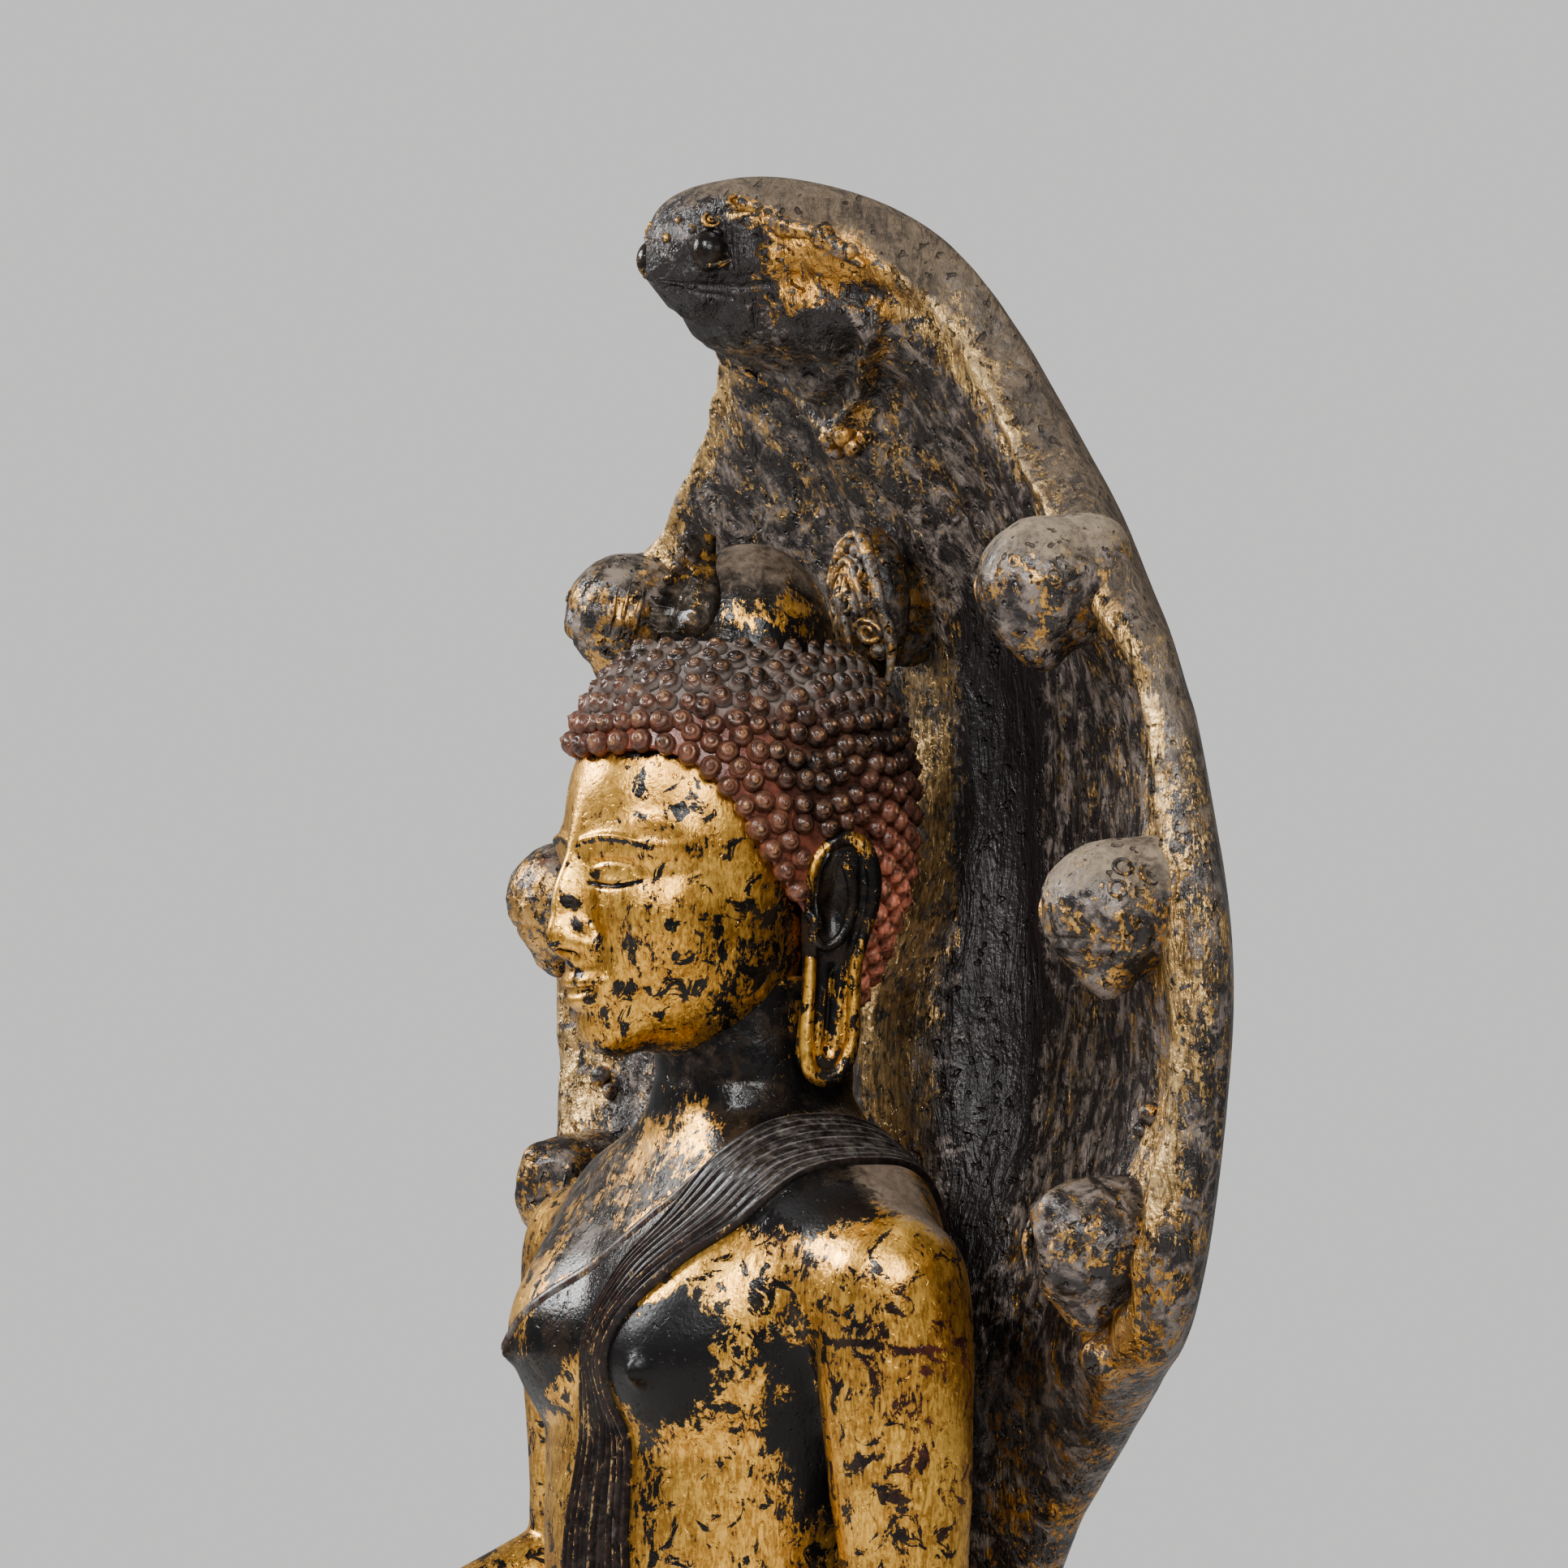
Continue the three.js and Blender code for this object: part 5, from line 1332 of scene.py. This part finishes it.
def buildHood():
    # face and back of the hood form one loop round each row; rows lie closer over the great head
    parts = [np.linspace(*part)[:-1] for part in hood["rowCounts"]]
    last = hood["rowCounts"][-1][1]
    row = np.append(np.concatenate(parts), last)[:, None]
    there, back = np.linspace(-1, 1, hood["frontColumns"]), np.linspace(1, -1, hood["backColumns"])[1:-1]
    tau = np.append(there, back)
    across = (1 - hood["bend"]) * tau + hood["bend"] * np.sin(np.pi / 2 * tau) + 0 * row
    row = row + 0 * across
    front = (np.arange(len(tau)) < hood["frontColumns"]) & (row >= 0)
    lean, rise = hood["tip"]
    tip = seatPlace + (0, hood["spine"] - lean * hood["reach"], rise * hood["height"])
    piece = pieceFrom("snake_hood_carved", skinOf(hoodGrid(row, across, front), None, tip))
    rowOf = np.append(row.ravel(), [0, last])
    acrossOf = np.abs(np.append(across.ravel(), [0, 0]))
    frontOf = np.append(front.ravel(), [False, True])
    heads, rim, crust, face = carveHood(piece, rowOf, acrossOf, frontOf)
    spot = oneSided(pointsOf(piece) - axis)
    aside, y, height = spot.T
    trunk = np.exp(-((aside / 0.085) ** 6)) * frontOf * step(13, 10.5, rowOf) * step(4, 6, rowOf)
    # the valley beside the trunk loses gold and dust and is darkened: black lacquer, with painted shade where
    # the trunk's shadow falls
    valley = step(0.02, 0.06, aside - 0.15 * np.clip(1.17 - height, 0, 0.2)) * step(0.15, 0.1, aside)
    valley *= frontOf * step(13, 11, rowOf)
    snout, muzzle = step(17.5, 19.0, rowOf), step(18.7, 19.5, rowOf)
    side = np.clip(step(0.97, 0.995, acrossOf) + ~frontOf * step(0.2, 0.6, acrossOf), 0, 1)
    _, ledgeY, ledgeHeight = np.transpose(ledgeLine)
    ledge = np.interp(y, ledgeY, ledgeHeight)
    above = step(-0.003, 0.006, height - ledge) * step(15.5, 16.5, rowOf)
    brow = step(16, 17, rowOf) * step(19.4, 18.4, rowOf) * frontOf * step(0.5, 0.75, acrossOf)
    brow *= 1 - 0.9 * above
    collar = bell(pathReach(pointsOf(piece), laidOn(throatLine + axis, piece)), 0.008) * frontOf
    # the strip of trunk beside the neck gets more gold and less dust so that it reads bright tan gold: partly
    # its gold, partly painted light
    strip = step(0.04, 0.02, aside) * step(0.86, 0.93, height) * step(1.26, 1.2, height) * frontOf
    gilding = 0.13 + 0.52 * rim + 0.44 * crust + 0.16 * heads * frontOf + 0.16 * trunk - 0.2 * valley
    gilding += 0.36 * brow - 0.1 * snout + 0.42 * collar + 0.6 * strip + 0.1 * lumps(pointsOf(piece), 0.12, 6)
    gilding += 0.12 * side * step(1.35, 1.1, height) + 0.08 * face * step(1.25, 1.4, height)
    onTop = step(0.1, 0.75, normalsOf(piece)[:, 2])
    dust = 0.3 * side * step(0.95, 1.3, height) + 0.5 * onTop * (1 - 0.6 * frontOf) + 0.2 * side
    dust += 0.3 * rim + 0.22 * crust + 0.46 * trunk - 0.6 * valley - 0.5 * brow + 0.14 * face
    dust += 0.5 * above - 0.2 * collar - 0.5 * strip - 0.6 * muzzle - 0.6 * snout * step(0.4, 0.9, acrossOf)
    # the valley's darkening here is painted shade over black lacquer
    soot = 0.95 * valley * step(0.75, 0.95, height) + 0.75 * snout * frontOf + 0.45 * muzzle * ~frontOf
    soot += 0.5 * brow * step(0.008, 0.0, ledge - height) * step(17.8, 17.2, rowOf)
    withMasks(
        piece, gilding=gilding + patches(spot, carving["gilding"]), dust=dust,
        soot=soot + patches(spot, carving["soot"]),
        warm=np.clip(0.9 * brow + 0.5 * collar + 0.5 * heads + step(0.95, 0.85, height), 0, 1))
    return piece


def ringPath(place, facing, radius, start=0.0, rounds=1.0, tighten=0.0, count=25):
    # points round a circle, or a spiral where it tightens
    facing = unit(facing)
    side = unit(np.cross(facing, (0, 0, 1.0)))
    share = np.linspace(0, 1, count)[:, None]
    angle = 2 * np.pi * (start + rounds * share)
    circle = side * np.cos(angle) + np.cross(side, facing) * np.sin(angle)
    return place + radius * (1 - tighten * share) * circle


smallHeadMarks = [
    # the way each ring faces from the middle of its head, its radius and its cord
    [[(0.916, -0.395, 0.07), 0.0048, 0.0013], [(0.83, 0.45, -0.3), 0.0062, 0.0014],
     [(0.5, -0.8, 0.3), 0.0036, 0.001]],
    [[(0.753, -0.26, 0.605), 0.0055, 0.0014], [(0.865, 0.117, 0.49), 0.0066, 0.001],
     [(0.86, -0.42, 0.3), 0.005, 0.0012]],
    [[(0.3, -0.9, 0.35), 0.0045, 0.0012]],
]

crest = {
    # the ornament behind the hair knot: a boss, from the axis and the floor, its radii, and what lies on it
    "boss": [(0.0, 0.093, 1.314), (0.036, 0.023, 0.053)], "stem": [(0.0, 0.12, 1.308), (0.016, 0.032, 0.036)],
    # cords: sideways, height, then radii
    "cords": [
        [[(0., 1.3612), (0.0124, 1.3548), (0.0236, 1.3388), (0.031, 1.3156), (0.0341, 1.2876),
          (0.031, 1.2596)], [0.005, 0.0054, 0.0047, 0.0043, 0.004, 0.0022]],
        [[(0., 1.3436), (0.0087, 1.3388), (0.0161, 1.326), (0.0205, 1.31)], [0.0025, 0.0029, 0.0025, 0.0007]],
        [[(0.0025, 1.3316), (0.0043, 1.3212), (0.0019, 1.3084), (0.0037, 1.2876), (0.0012, 1.2636)],
         [0.0014, 0.004, 0.0036, 0.004, 0.0022]],
        [[(0.0124, 1.3196), (0.0149, 1.3084), (0.0124, 1.2956)], [0.0014, 0.0032, 0.0014]],
        [[(0.0074, 1.2812), (0.0136, 1.2716), (0.0186, 1.2596)], [0.0014, 0.0043, 0.0022]]],
    "beads": [[(0.0087, 1.3492), 0.005], [(0., 1.3532), 0.0058], [(0.0248, 1.2812), 0.0065],
              [(0.0161, 1.3452), 0.0043]],
    # rings and scrolls: sideways, height, radius, cord, turns, how far they tighten
    "scrolls": [[(0.0068, 1.3132), 0.0054, 0.0024, 1.0, 0.0], [(0.0223, 1.294), 0.0083, 0.0026, 1.35, 0.6],
                [(0.0136, 1.3356), 0.0043, 0.002, 1.0, 0.0]],
}


def onBoss(flat):
    # the front of the boss at sideways places and heights
    x, z = np.moveaxis(np.asarray(flat, float), -1, 0)
    (cx, cy, cz), (rx, ry, rz) = crest["boss"]
    rest = 1 - ((x - cx) / rx) ** 2 - ((z - cz) / rz) ** 2
    return together(x, layout["axisY"] + cy - ry * np.sqrt(np.maximum(rest, 0.04)), z)


def sideHeadPlace(number):
    share, rise, before, radius, _ = hood["sideHeads"][number]
    x, z = share * hood["halfWidth"], rise * hood["height"] + layout["seat"]
    return np.array([x, hoodFrontY(rise, x) - before * radius, z]), radius


def smallHeadCarving(number):
    # rings, and three slits on the inner cheek
    centre, radius = sideHeadPlace(number)
    skins = [limbSkin(ringPath(centre + unit(facing) * radius, facing, size), [cord, cord], 8, 36, 1, facing)
             for facing, size, cord in smallHeadMarks[number]]
    turn = np.linspace(-0.42, 0.42, 9)
    for k in (-1, 0, 1):
        ray = unit(together(-0.86 * np.cos(turn), -0.5 * np.cos(turn) + 0.24 * k + 0.25 * turn, np.sin(turn)))
        skins.append(limbSkin(centre + ray * radius * 1.01, [0.0006, 0.0022, 0.0006], 8, 18))
    return skins


def buildCarving(target):
    # cords, beads and rings on the great head, the throat, the trunk and the small heads
    paths = [path + axis for path, _ in carving["cords"]]
    laid = laidOn(np.concatenate([*paths, [place + axis for place, _ in carving["beads"]]]), target)
    cuts = np.cumsum([len(path) for path in paths])
    *paths, places = np.split(laid, cuts)
    skins = [limbSkin(path, radii, 14, 40) for (_, radii), path in zip(carving["cords"], paths)]
    skins += [beadSkin(place, radius) for (_, radius), place in zip(carving["beads"], places)]
    skins += [limbSkin(ringPath(place + axis, facing, radius), [cord, cord], 10, 40, 1, facing)
              for place, facing, radius, cord in carving["rings"]]
    for number in range(len(smallHeadMarks)):
        skins += smallHeadCarving(number)
    skins += [beadSkin(centre + axis, 1.0, radii) for centre, radii in (crest["boss"], crest["stem"])]
    skins += [limbSkin(onBoss(path), radii, 14, 40) for path, radii in crest["cords"]]
    skins += [beadSkin(onBoss(flat), radius) for flat, radius in crest["beads"]]
    for (x, z), radius, cord, rounds, tighten in crest["scrolls"]:
        path = ringPath((x, 0, z), (0, -1, 0), radius, 0.1, rounds, tighten, 40)
        skins.append(limbSkin(onBoss(path[:, ::2]), [cord, cord, cord * 0.7], 12, 54, 1, (0, 1, 0)))
    piece = pieceFrom("hood_carving", *onBothSides(skins))
    spot = pointsOf(piece)
    swell(piece, 0.0006 * lumps(spot, 0.006, 4))
    aside, _, height = oneSided(spot).T
    high = step(1.48, 1.52, height)
    knob = bell(height - 0.835, 0.03) + bell(height - 1.422, 0.02) * step(0.06, 0.03, aside)
    crown = step(1.24, 1.26, height) * step(1.38, 1.37, height)
    withMasks(piece, gilding=0.42 + 0.16 * high + 0.2 * knob + 0.1 * crown + 0.1 * lumps(spot, 0.02, 5),
              dust=0.25 - 0.25 * high - 0.2 * knob + 0.2 * crown, warm=0.7)
    return piece


greatEye = {  # from the axis and the floor
    "ball": (0.038, -0.053, 1.542), "radius": 0.0135, "squash": (0.85, 0.85, 1),
    "knob": (0.0425, -0.049, 1.553), "knobRadius": 0.0035,
    "lid": [(0.036, -0.062, 1.534), (0.044, -0.055, 1.5315), (0.05, -0.045, 1.535)],
    "lidRadii": [0.0008, 0.002, 0.0008],
}


def buildGreatEyes():
    # two bulging dark eyes, each with a lid below and a knob above it
    piece = pieceFrom("great_eyes", *onBothSides([
        beadSkin(greatEye["ball"] + axis, greatEye["radius"], greatEye["squash"]),
        beadSkin(greatEye["knob"] + axis, greatEye["knobRadius"]),
        limbSkin(greatEye["lid"] + axis, greatEye["lidRadii"], 10, 24)]))
    withMasks(piece, gilding=0.16 + 0.3 * step(1.538, 1.533, pointsOf(piece)[:, 2]))
    return piece


def sideHeadSkin(number, seed):
    # a ball drawn out backwards into the hood, with a chin that comes to a point, and worn lumps
    centre, radius = sideHeadPlace(number)
    broken = hood["sideHeads"][number][4]
    x, z, y = sphereRays(98, 102)
    ray = together(x, y, z)

    def mark(x, y, z, width):
        return bell(np.arccos(np.clip(ray @ unit((x, y, z)), -1, 1)), width)

    reach = 1 + 0.22 * step(0.1, 0.9, y) + 0.32 * mark(0.1, -0.1, -0.98, 0.34)
    reach += 0.24 * mark(0.4, 0.7, 0.6, 0.5)
    mouth = bell(z + 0.42 + 0.2 * x**2, 0.045) * step(0.2, -0.4, y)
    reach -= (0.05 * mark(-0.2, -0.9, 0.35, 0.5) + 0.035 * mouth) * (1 - broken)
    reach += 0.03 * mark(-0.6, -0.75, 0.45, 0.25) + 0.03 * mark(0.6, -0.75, 0.45, 0.25)
    if broken:  # the muzzle is gone: a slanting break with a folded rim above it
        brokenFace = 0.8 / np.maximum(ray @ unit((-0.55, -0.82, -0.12)), 1e-3)
        fold = 0.14 * mark(0.1, -0.75, 0.66, 0.28) + 0.1 * mark(-0.75, -0.55, 0.4, 0.26)
        fold -= 0.12 * mark(-0.35, -0.9, -0.1, 0.3)
        reach = np.minimum(reach, brokenFace + 0.02 * lumps(ray * radius, 0.008, 5)) + fold
    relief = 0.0014 * lumps(ray * radius, 0.014, seed) + 0.0009 * lumps(ray * radius, 0.006, seed + 9)
    relief *= 1.15 - step(0.1, 0.6, z) * 0.8
    return skinOf(centre + ray * (radius * reach + relief)[..., None])


def buildSideHeads():
    skins = []
    for number in range(len(hood["sideHeads"])):
        skins += [sideHeadSkin(number, number), mirroredSkin(sideHeadSkin(number, number + 20))]
    piece = pieceFrom("side_heads", *skins)
    spot, up = pointsOf(piece), normalsOf(piece)[:, 2]
    farSide, lowest = spot[:, 0] < 0, step(1.0, 0.96, spot[:, 2])
    withMasks(
        piece, warm=0.5, gilding=0.4 + 0.2 * lumps(spot, 0.03, 3) - 0.2 * step(0.15, 0.7, up) + 0.1 * farSide,
        dust=0.12 + 0.75 * step(-0.25, 0.7, up) * (1 - 0.65 * lowest) * np.where(farSide, 0.5, 1),
        bole=patches(oneSided(spot), [[0.34, 0.062, 1.14, 0.008, 0.02, 0.006, 0.9]]))
    return piece


carvedHood, sideHeads = buildHood(), buildSideHeads()
hoodCarving, greatEyes = buildCarving(carvedHood), buildGreatEyes()
print("hood made")

# Throne.

throne = {
    "coils": 3, "coilHeight": 0.115, "halfWidth": 0.438, "halfDepth": 0.313, "taper": 0.006,
    "arc": math.radians(84), "arcSteps": 28, "columns": 210,
    "wear": 0.0014, "sink": 0.0006,  # depth of the worn hollows, and of the whole skin inside the coils
}


def buildThrone():
    # three fat coils: arcs of a circle stacked, and carried round an ellipse
    tube, top = throne["coilHeight"] / 2, throne["coilHeight"] * throne["coils"]
    arc = np.linspace(-throne["arc"], throne["arc"], throne["arcSteps"])
    inset, height = [[tube * 1.6, tube * 0.95]], [[0.0, 0.0]]
    for coil in range(throne["coils"]):
        inset.append(tube * (1 - np.cos(arc)) + throne["taper"] * coil)
        height.append(throne["coilHeight"] * (coil + 0.5) + tube * np.sin(arc))
    inset.append(np.array([tube * 1.2, tube * 3]) + throne["taper"] * throne["coils"])
    height.append([top, top])
    inset, height = np.concatenate(inset)[:, None], np.clip(np.concatenate(height), 0, top)[:, None]
    x, y = np.cos(turns(throne["columns"])), np.sin(turns(throne["columns"]))
    points = together((throne["halfWidth"] - inset) * x, (throne["halfDepth"] - inset) * y, height)
    worn = -throne["wear"] * np.abs(lumps(points * (1, 1, 1.4), 0.03, 1)) - throne["sink"]
    worn = np.where((height > 0) & (height < top), worn, 0)
    piece = pieceFrom("coils_carved", skinOf(points + unit(together(x, y * 1.4, 0)) * worn[..., None]))
    withMasks(piece, gilding=0.12 + 0.14 * lumps(pointsOf(piece), 0.15, 4),
              dust=0.5 * step(0.3, 0.95, normalsOf(piece)[:, 2]))
    return piece


coils = buildThrone()

# What rides and what it stands for.

gildedPieces = [upperBody, lowerBody, buddhaHead, hairKnot, knotLeaf, ears]
for finish, pieces in (
    (gildedLacquer, gildedPieces + [greatEyes]), (curlFinish(), [hairCurls]),
    (blackPleats, [pleatedShawl, robeEdge]), (hoodBronze, [carvedHood]),
    (headBronze, [sideHeads, hoodCarving]), (coilBronze, [coils]),
):
    for piece in pieces:
        piece.data.materials.append(finish)

for piece in gildedPieces + [hairCurls, pleatedShawl, robeEdge]:
    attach(piece, "root")
    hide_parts("seated_figure")
for piece in (carvedHood, sideHeads, hoodCarving, greatEyes):
    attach(piece, "root")
    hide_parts("snake_hood")
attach(coils, "root")
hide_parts("coiled_throne")
print("pieces riding")

# Floor, light and camera.

studio = {
    "floor": (0.78, 0.77, 0.75), "floorRough": 0.8, "floorRings": [0.51, 1.02, 1.7, 2.55, 3.4],
    "floorSides": 64, "air": (0.9, 0.9, 0.9), "airStrength": 0.26, "backdrop": (0.62, 0.62, 0.615),
    "look": "AgX - Medium High Contrast",
    # place, aimed height, size, power
    "lights": [[(1.3, -2.7, 3.2), 1.25, 0.9, 88.0], [(-2.5, -2.15, 2.8), 1.15, 1.1, 105.0],
               [(3.3, -1.5, 2.7), 1.15, 1.3, 72.0], [(3.2, 1.7, 2.2), 1.1, 1.2, 14.0],
               [(0.2, 0.6, 4.2), 1.3, 1.4, 14.0]],
    "cameraPlace": (3.4752, -1.9267, 1.147), "cameraTurn": math.radians(60), "focalLength": 137.9,
    "sensorWidth": 36.0, "shift": 0.0435,
}


def buildFloor():
    # a disc, rings of growing radius round one middle point
    radius, count = np.array(studio["floorRings"])[:, None], studio["floorSides"]
    angle = turns(count)
    points = together(radius * np.cos(angle), radius * np.sin(angle), 0).reshape(-1, 3)
    k = np.arange(count)
    n = (k + 1) % count
    base = np.arange(len(radius) - 1)[:, None] * count
    quads = np.stack([base + k, base + k + count, base + n + count, base + n], -1).reshape(-1, 4)
    fans = together(k, n, len(points))
    mesh = bpy.data.meshes.new("floor")
    mesh.from_pydata([*points.tolist(), (0, 0, 0)], [], quads.tolist() + fans.tolist())
    floor = addObject("floor", mesh)
    material, tree, shader = newMaterial("pale floor")
    feed(tree, shader.inputs["Base Color"], studio["floor"])
    feed(tree, shader.inputs["Roughness"], studio["floorRough"])
    mesh.materials.append(material)


def buildLights():
    for number, (place, aim, size, watts) in enumerate(studio["lights"]):
        light = bpy.data.lights.new(f"softLight{number}", "AREA")
        light.shape, light.size, light.energy = "DISK", size, watts
        lamp = addObject(light.name, light)
        x, y, z = place
        lamp.location = place
        lamp.rotation_euler = (math.atan2(math.hypot(x, y), z - aim), 0, math.atan2(x, -y))
    world = bpy.data.worlds.new("studio")
    world.use_nodes = True
    # what the camera sees behind the object is paler than the air that lights it
    tree = world.node_tree
    air, backdrop = tree.nodes["Background"], addNode(tree, "Background", {"Color": studio["backdrop"]})
    feed(tree, air.inputs["Color"], studio["air"])
    feed(tree, air.inputs["Strength"], studio["airStrength"])
    seen = addNode(tree, "LightPath").outputs["Is Camera Ray"]
    mix = addNode(tree, "MixShader", {0: seen, 1: air.outputs[0], 2: backdrop.outputs[0]})
    feed(tree, tree.nodes["World Output"].inputs["Surface"], mix.outputs[0])
    bpy.context.scene.world = world
    bpy.context.scene.view_settings.look = studio["look"]


def buildCamera():
    lens = bpy.data.cameras.new("camera")
    lens.lens, lens.sensor_width, lens.shift_y = studio["focalLength"], studio["sensorWidth"], studio["shift"]
    camera = addObject("camera", lens)
    camera.location = studio["cameraPlace"]
    camera.rotation_euler = (math.radians(90), 0, studio["cameraTurn"])
    bpy.context.scene.camera = camera


buildFloor()
buildLights()
buildCamera()
